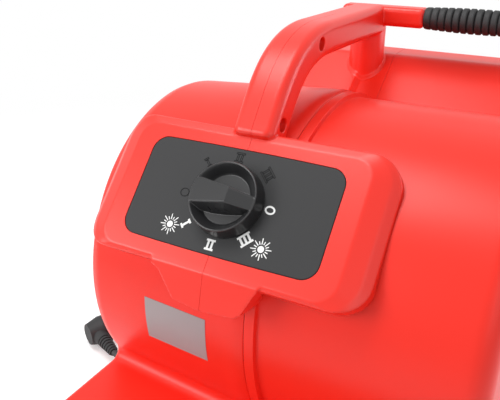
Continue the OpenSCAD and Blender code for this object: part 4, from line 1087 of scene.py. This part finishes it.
def plain_finish(name, colour, roughness, grain=400.0, depth=0.03, spread=0.06, shade=0.06, metallic=0.0,
                 specular=0.5):
    """Surface with fine grain in its bump, cloudy roughness and a slight drift of colour, on Object coordinates."""
    material = bpy.data.materials.new(name)
    material.use_nodes = True
    tree = material.node_tree
    place = added(tree, "TexCoord", {})["Object"]
    fine = added(tree, "TexNoise", {"Scale": grain, "Detail": 3.0, "Vector": place})["Fac"]
    cloud = added(tree, "TexNoise", {"Scale": 14.0, "Detail": 4.0, "Vector": place})["Fac"]
    low, high = max(roughness - spread, 0.02), min(roughness + spread, 1.0)
    rough = added(tree, "MapRange", {"To Min": low, "To Max": high, "Value": cloud})["Result"]
    ramp = tree.nodes.new("ShaderNodeValToRGB")
    for stop, position, drift in zip(ramp.color_ramp.elements, (0.3, 0.7), (1 - shade, 1 + shade)):
        stop.position, stop.color = position, (*[min(c * drift, 1) for c in colour], 1)
    fill(tree, ramp, {"Fac": cloud})
    bump = added(tree, "Bump", {"Strength": 0.35, "Distance": depth * MM, "Height": fine})["Normal"]
    fill(tree, tree.nodes["Principled BSDF"], {
        "Metallic": metallic, "Specular IOR Level": specular, "Roughness": rough,
        "Base Color": ramp.outputs["Color"], "Normal": bump,
    })


# Each material with the CAD pieces that keep their own form and take it
NODE_FINISH = {
    "label film": ["label"],
    "moulded black": ["rotary_switch", "left_intake_grille", "right_intake_grille", "outlet_grille", "impeller"],
    "zinc steel": ["switch_nut", "switch_spindle", "grip_tube", "post_screws", "handle_screws", "motor_shaft",
                   "motor_rotor", "motor_bearings", "motor_bracket", "heater_tubes", "foot_screws", "shell_screws"],
    "cast aluminium": ["impeller_hub", "motor_case"],
    "enamelled copper": ["motor_stator"],
    "moulded rubber": ["motor_mounts", "rubber_feet", "strain_relief", "plug"],
    "pale plastic": ["capacitor", "thermal_cutout", "terminal_block"],
    "mica board": ["heater_frame"],
    "nickel pins": ["plug_pins"],
}


class PETDRYER_OT_finishes(bpy.types.Operator):
    """Make the materials and give them to the pieces that keep their own form"""
    bl_idname = "petdryer.finishes"
    bl_label = "Materials"

    def execute(self, context):
        s = context.scene.petdryer_finish
        red, charcoal, black = tuple(s.red), tuple(s.charcoal), tuple(s.black)
        plain_finish("red housing plastic", red, 0.36, 900.0, 0.02, 0.03, 0.015, specular=0.36)
        plain_finish("red handle plastic", red, 0.33, 900.0, 0.02, 0.03, 0.015)
        plain_finish("plate plastic", charcoal, 0.60, 1500.0, 0.10, 0.03, 0.05, specular=0.3)
        plain_finish("raised mark plastic", [c * 0.4 for c in charcoal], 0.7, 1500.0, 0.02, specular=0.14)
        plain_finish("white print", (0.86, 0.86, 0.85), 0.45, 1200.0, 0.02, 0.03, 0.02)
        plain_finish("knob plastic", black, 0.30, 1300.0, 0.02, 0.04, 0.05)
        plain_finish("grip rubber", [c * 0.8 for c in black], 0.6, 1400.0, 0.05)
        plain_finish("moulded rubber", black, 0.62, 1200.0, 0.05)
        plain_finish("cord rubber", black, 0.5, 1400.0, 0.03)
        plain_finish("moulded black", black, 0.5, 1200.0, 0.04)
        # The label's own colour is a silver grey; its slight pink tint is a painted reflection of the red housing round
        # it.
        plain_finish("label film", (0.335, 0.307, 0.312), 0.42, 900.0, 0.01, 0.04, 0.03)
        plain_finish("zinc steel", (0.62, 0.63, 0.65), 0.32, 700.0, 0.02, 0.08, 0.05, metallic=1.0)
        plain_finish("nickel pins", (0.70, 0.69, 0.66), 0.22, 700.0, 0.01, 0.05, 0.03, metallic=1.0)
        plain_finish("cast aluminium", (0.66, 0.67, 0.68), 0.45, 500.0, 0.08, 0.08, 0.05, metallic=1.0)
        plain_finish("enamelled copper", (0.62, 0.27, 0.10), 0.35, 600.0, 0.1, 0.08, 0.12, metallic=0.8)
        plain_finish("pale plastic", (0.75, 0.73, 0.66), 0.45, 800.0, 0.03)
        plain_finish("mica board", (0.50, 0.46, 0.34), 0.6, 300.0, 0.1, 0.06, 0.15)
        for name, nodes in NODE_FINISH.items():
            material = bpy.data.materials[name]
            for node in nodes:
                piece = bpy.data.objects[node]
                if not piece.material_slots:
                    piece.data.materials.append(material)
                for slot in piece.material_slots:
                    slot.material = material
        return {"FINISHED"}


# ---- Stage ----

WHITE = (1, 1, 1, 1)
# The camera's focal length and the picture's width in pixels, and its place from the drum axis in millimetres
FOCAL, PICTURE, CAMERA = 644.0, 500.0, [240.3, -529.6, 317.9]
# Share of full white that the floor shows of itself, and from where to where it turns into the plain background
FLOOR_GLOW, NEAR, FAR = 0.30, 0.7, 1.6
# Lamps: place, the point they turn to, width, the setting that holds their power, colour
LAMPS = {
    "above": ((-0.43, -0.25, 1.77), (0.0, 0.0, 0.25), 0.85, "key", (1, 1, 1)),
    "front left": ((-1.17, -1.35, 0.90), (0.0, 0.0, 0.2), 0.9, "fill", (1, 1, 1)),
    "right": ((1.35, 0.90, 0.35), (0.0, 0.0, 0.3), 1.0, "rim", (0.86, 0.88, 1.0)),
    "front right": ((1.25, -0.85, 0.80), (0.0, 0.0, 0.25), 0.9, "side", (1, 1, 1)),
}


def background_rays(tree):
    """1 for rays that see the background: from the camera, off shiny surfaces and through clear ones."""
    ray = added(tree, "LightPath", {})
    total = ray["Is Camera Ray"]
    for kind in ("Is Glossy Ray", "Is Transmission Ray"):
        total = added(tree, "Math", {0: total, 1: ray[kind]}, operation="MAXIMUM")[0]
    return total


def floor_material():
    """Pale matt floor that glows a little to background rays and turns into white at a distance."""
    material = bpy.data.materials.new("pale floor")
    material.use_nodes = True
    tree = material.node_tree
    shader = tree.nodes["Principled BSDF"]
    fill(tree, shader, {"Base Color": (0.86, 0.86, 0.86, 1), "Roughness": 0.9, "Specular IOR Level": 0.1})
    share = added(tree, "Math", {0: background_rays(tree), 1: FLOOR_GLOW}, operation="MULTIPLY")[0]
    glow = added(tree, "Emission", {"Color": WHITE, "Strength": share})[0]
    both = added(tree, "AddShader", {0: shader.outputs[0], 1: glow})[0]
    place = added(tree, "NewGeometry", {})["Position"]
    reach = added(tree, "VectorMath", {0: place}, operation="LENGTH")["Value"]
    between = {"From Min": NEAR, "From Max": FAR, "Value": reach}
    far = added(tree, "MapRange", between, interpolation_type="SMOOTHSTEP")["Result"]
    white = added(tree, "Emission", {"Color": WHITE, "Strength": background_rays(tree)})[0]
    mix = added(tree, "MixShader", {"Fac": far, 1: both, 2: white})[0]
    fill(tree, tree.nodes["Material Output"], {"Surface": mix})
    return material


class PETDRYER_OT_stage(bpy.types.Operator):
    """Set up the camera, the floor and the soft lights"""
    bl_idname = "petdryer.stage"
    bl_label = "Stage"

    def execute(self, context):
        scene = context.scene
        settings = scene.petdryer_stage
        link = scene.collection.objects.link
        camera_data = bpy.data.cameras.new("camera")
        camera_data.sensor_width, camera_data.lens = 36.0, FOCAL / PICTURE * 36.0
        camera_data.clip_start, camera_data.clip_end = 0.01, 50.0
        camera = bpy.data.objects.new("camera", camera_data)
        link(camera)
        right, forward = Vector((0.870, 0.492, 0.0)).normalized(), Vector((-0.449, 0.794, -0.410))
        forward = (forward - right * forward.dot(right)).normalized()
        turn = Matrix((right, right.cross(forward), -forward)).transposed().to_4x4()
        turn.translation = Vector(to_row(CAMERA).tolist())
        camera.matrix_world = turn
        scene.camera = camera

        floor_mesh = bpy.data.meshes.new("floor")
        floor_mesh.from_pydata([(-6, -6, 0), (6, -6, 0), (6, 6, 0), (-6, 6, 0)], [], [(0, 1, 2, 3)])
        floor = bpy.data.objects.new("floor", floor_mesh)
        link(floor)
        floor_mesh.materials.append(floor_material())

        scene.world = bpy.data.worlds.new("studio")
        scene.world.use_nodes = True
        tree = scene.world.node_tree
        around = {"To Min": settings.around, "To Max": 1.0, "Value": background_rays(tree)}
        level = added(tree, "MapRange", around)["Result"]
        fill(tree, tree.nodes["Background"], {"Color": WHITE, "Strength": level})

        for name, (place, target, size, power, colour) in LAMPS.items():
            data = bpy.data.lights.new(name, "AREA")
            data.shape, data.size, data.energy, data.color = "SQUARE", size, getattr(settings, power), colour
            light = bpy.data.objects.new(name, data)
            light.location = place
            light.rotation_euler = (Vector(target) - Vector(place)).to_track_quat("-Z", "Y").to_euler()
            link(light)
        scene.view_settings.view_transform = "Standard"
        return {"FINISHED"}


class PETDRYER_PT_panel(bpy.types.Panel):
    """Lists the pieces and their settings"""
    bl_idname = "PETDRYER_PT_panel"
    bl_label = "Pet dryer"
    bl_space_type = "VIEW_3D"
    bl_region_type = "UI"
    bl_category = "Pet dryer"

    def draw(self, context):
        layout = self.layout
        for name in GROUPS:
            group = getattr(context.scene, name)
            for key in group.bl_rna.properties.keys():
                if key not in {"rna_type", "name"}:
                    layout.prop(group, key)
        for operator in OPERATORS:
            layout.operator(operator.bl_idname)


OPERATORS = (
    PETDRYER_OT_finishes, PETDRYER_OT_stage, PETDRYER_OT_cord, PETDRYER_OT_housing, PETDRYER_OT_handle,
    PETDRYER_OT_grip, PETDRYER_OT_plate, PETDRYER_OT_knob, PETDRYER_OT_marks,
)
GROUPS = {
    "petdryer_housing": PETDRYER_PG_housing, "petdryer_handle": PETDRYER_PG_handle,
    "petdryer_controls": PETDRYER_PG_controls, "petdryer_cord": PETDRYER_PG_cord,
    "petdryer_finish": PETDRYER_PG_finish, "petdryer_stage": PETDRYER_PG_stage,
}


def register():
    for cls in (*GROUPS.values(), *OPERATORS, PETDRYER_PT_panel):
        bpy.utils.register_class(cls)
    for name, cls in GROUPS.items():
        setattr(bpy.types.Scene, name, PointerProperty(type=cls))


def unregister():
    for name in GROUPS:
        delattr(bpy.types.Scene, name)
    for cls in reversed((*GROUPS.values(), *OPERATORS, PETDRYER_PT_panel)):
        bpy.utils.unregister_class(cls)


def main():
    """Registers the add-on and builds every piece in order."""
    register()
    for operator in OPERATORS:
        group, name = operator.bl_idname.split(".")
        getattr(getattr(bpy.ops, group), name)()


if __name__ == "__main__":
    main()
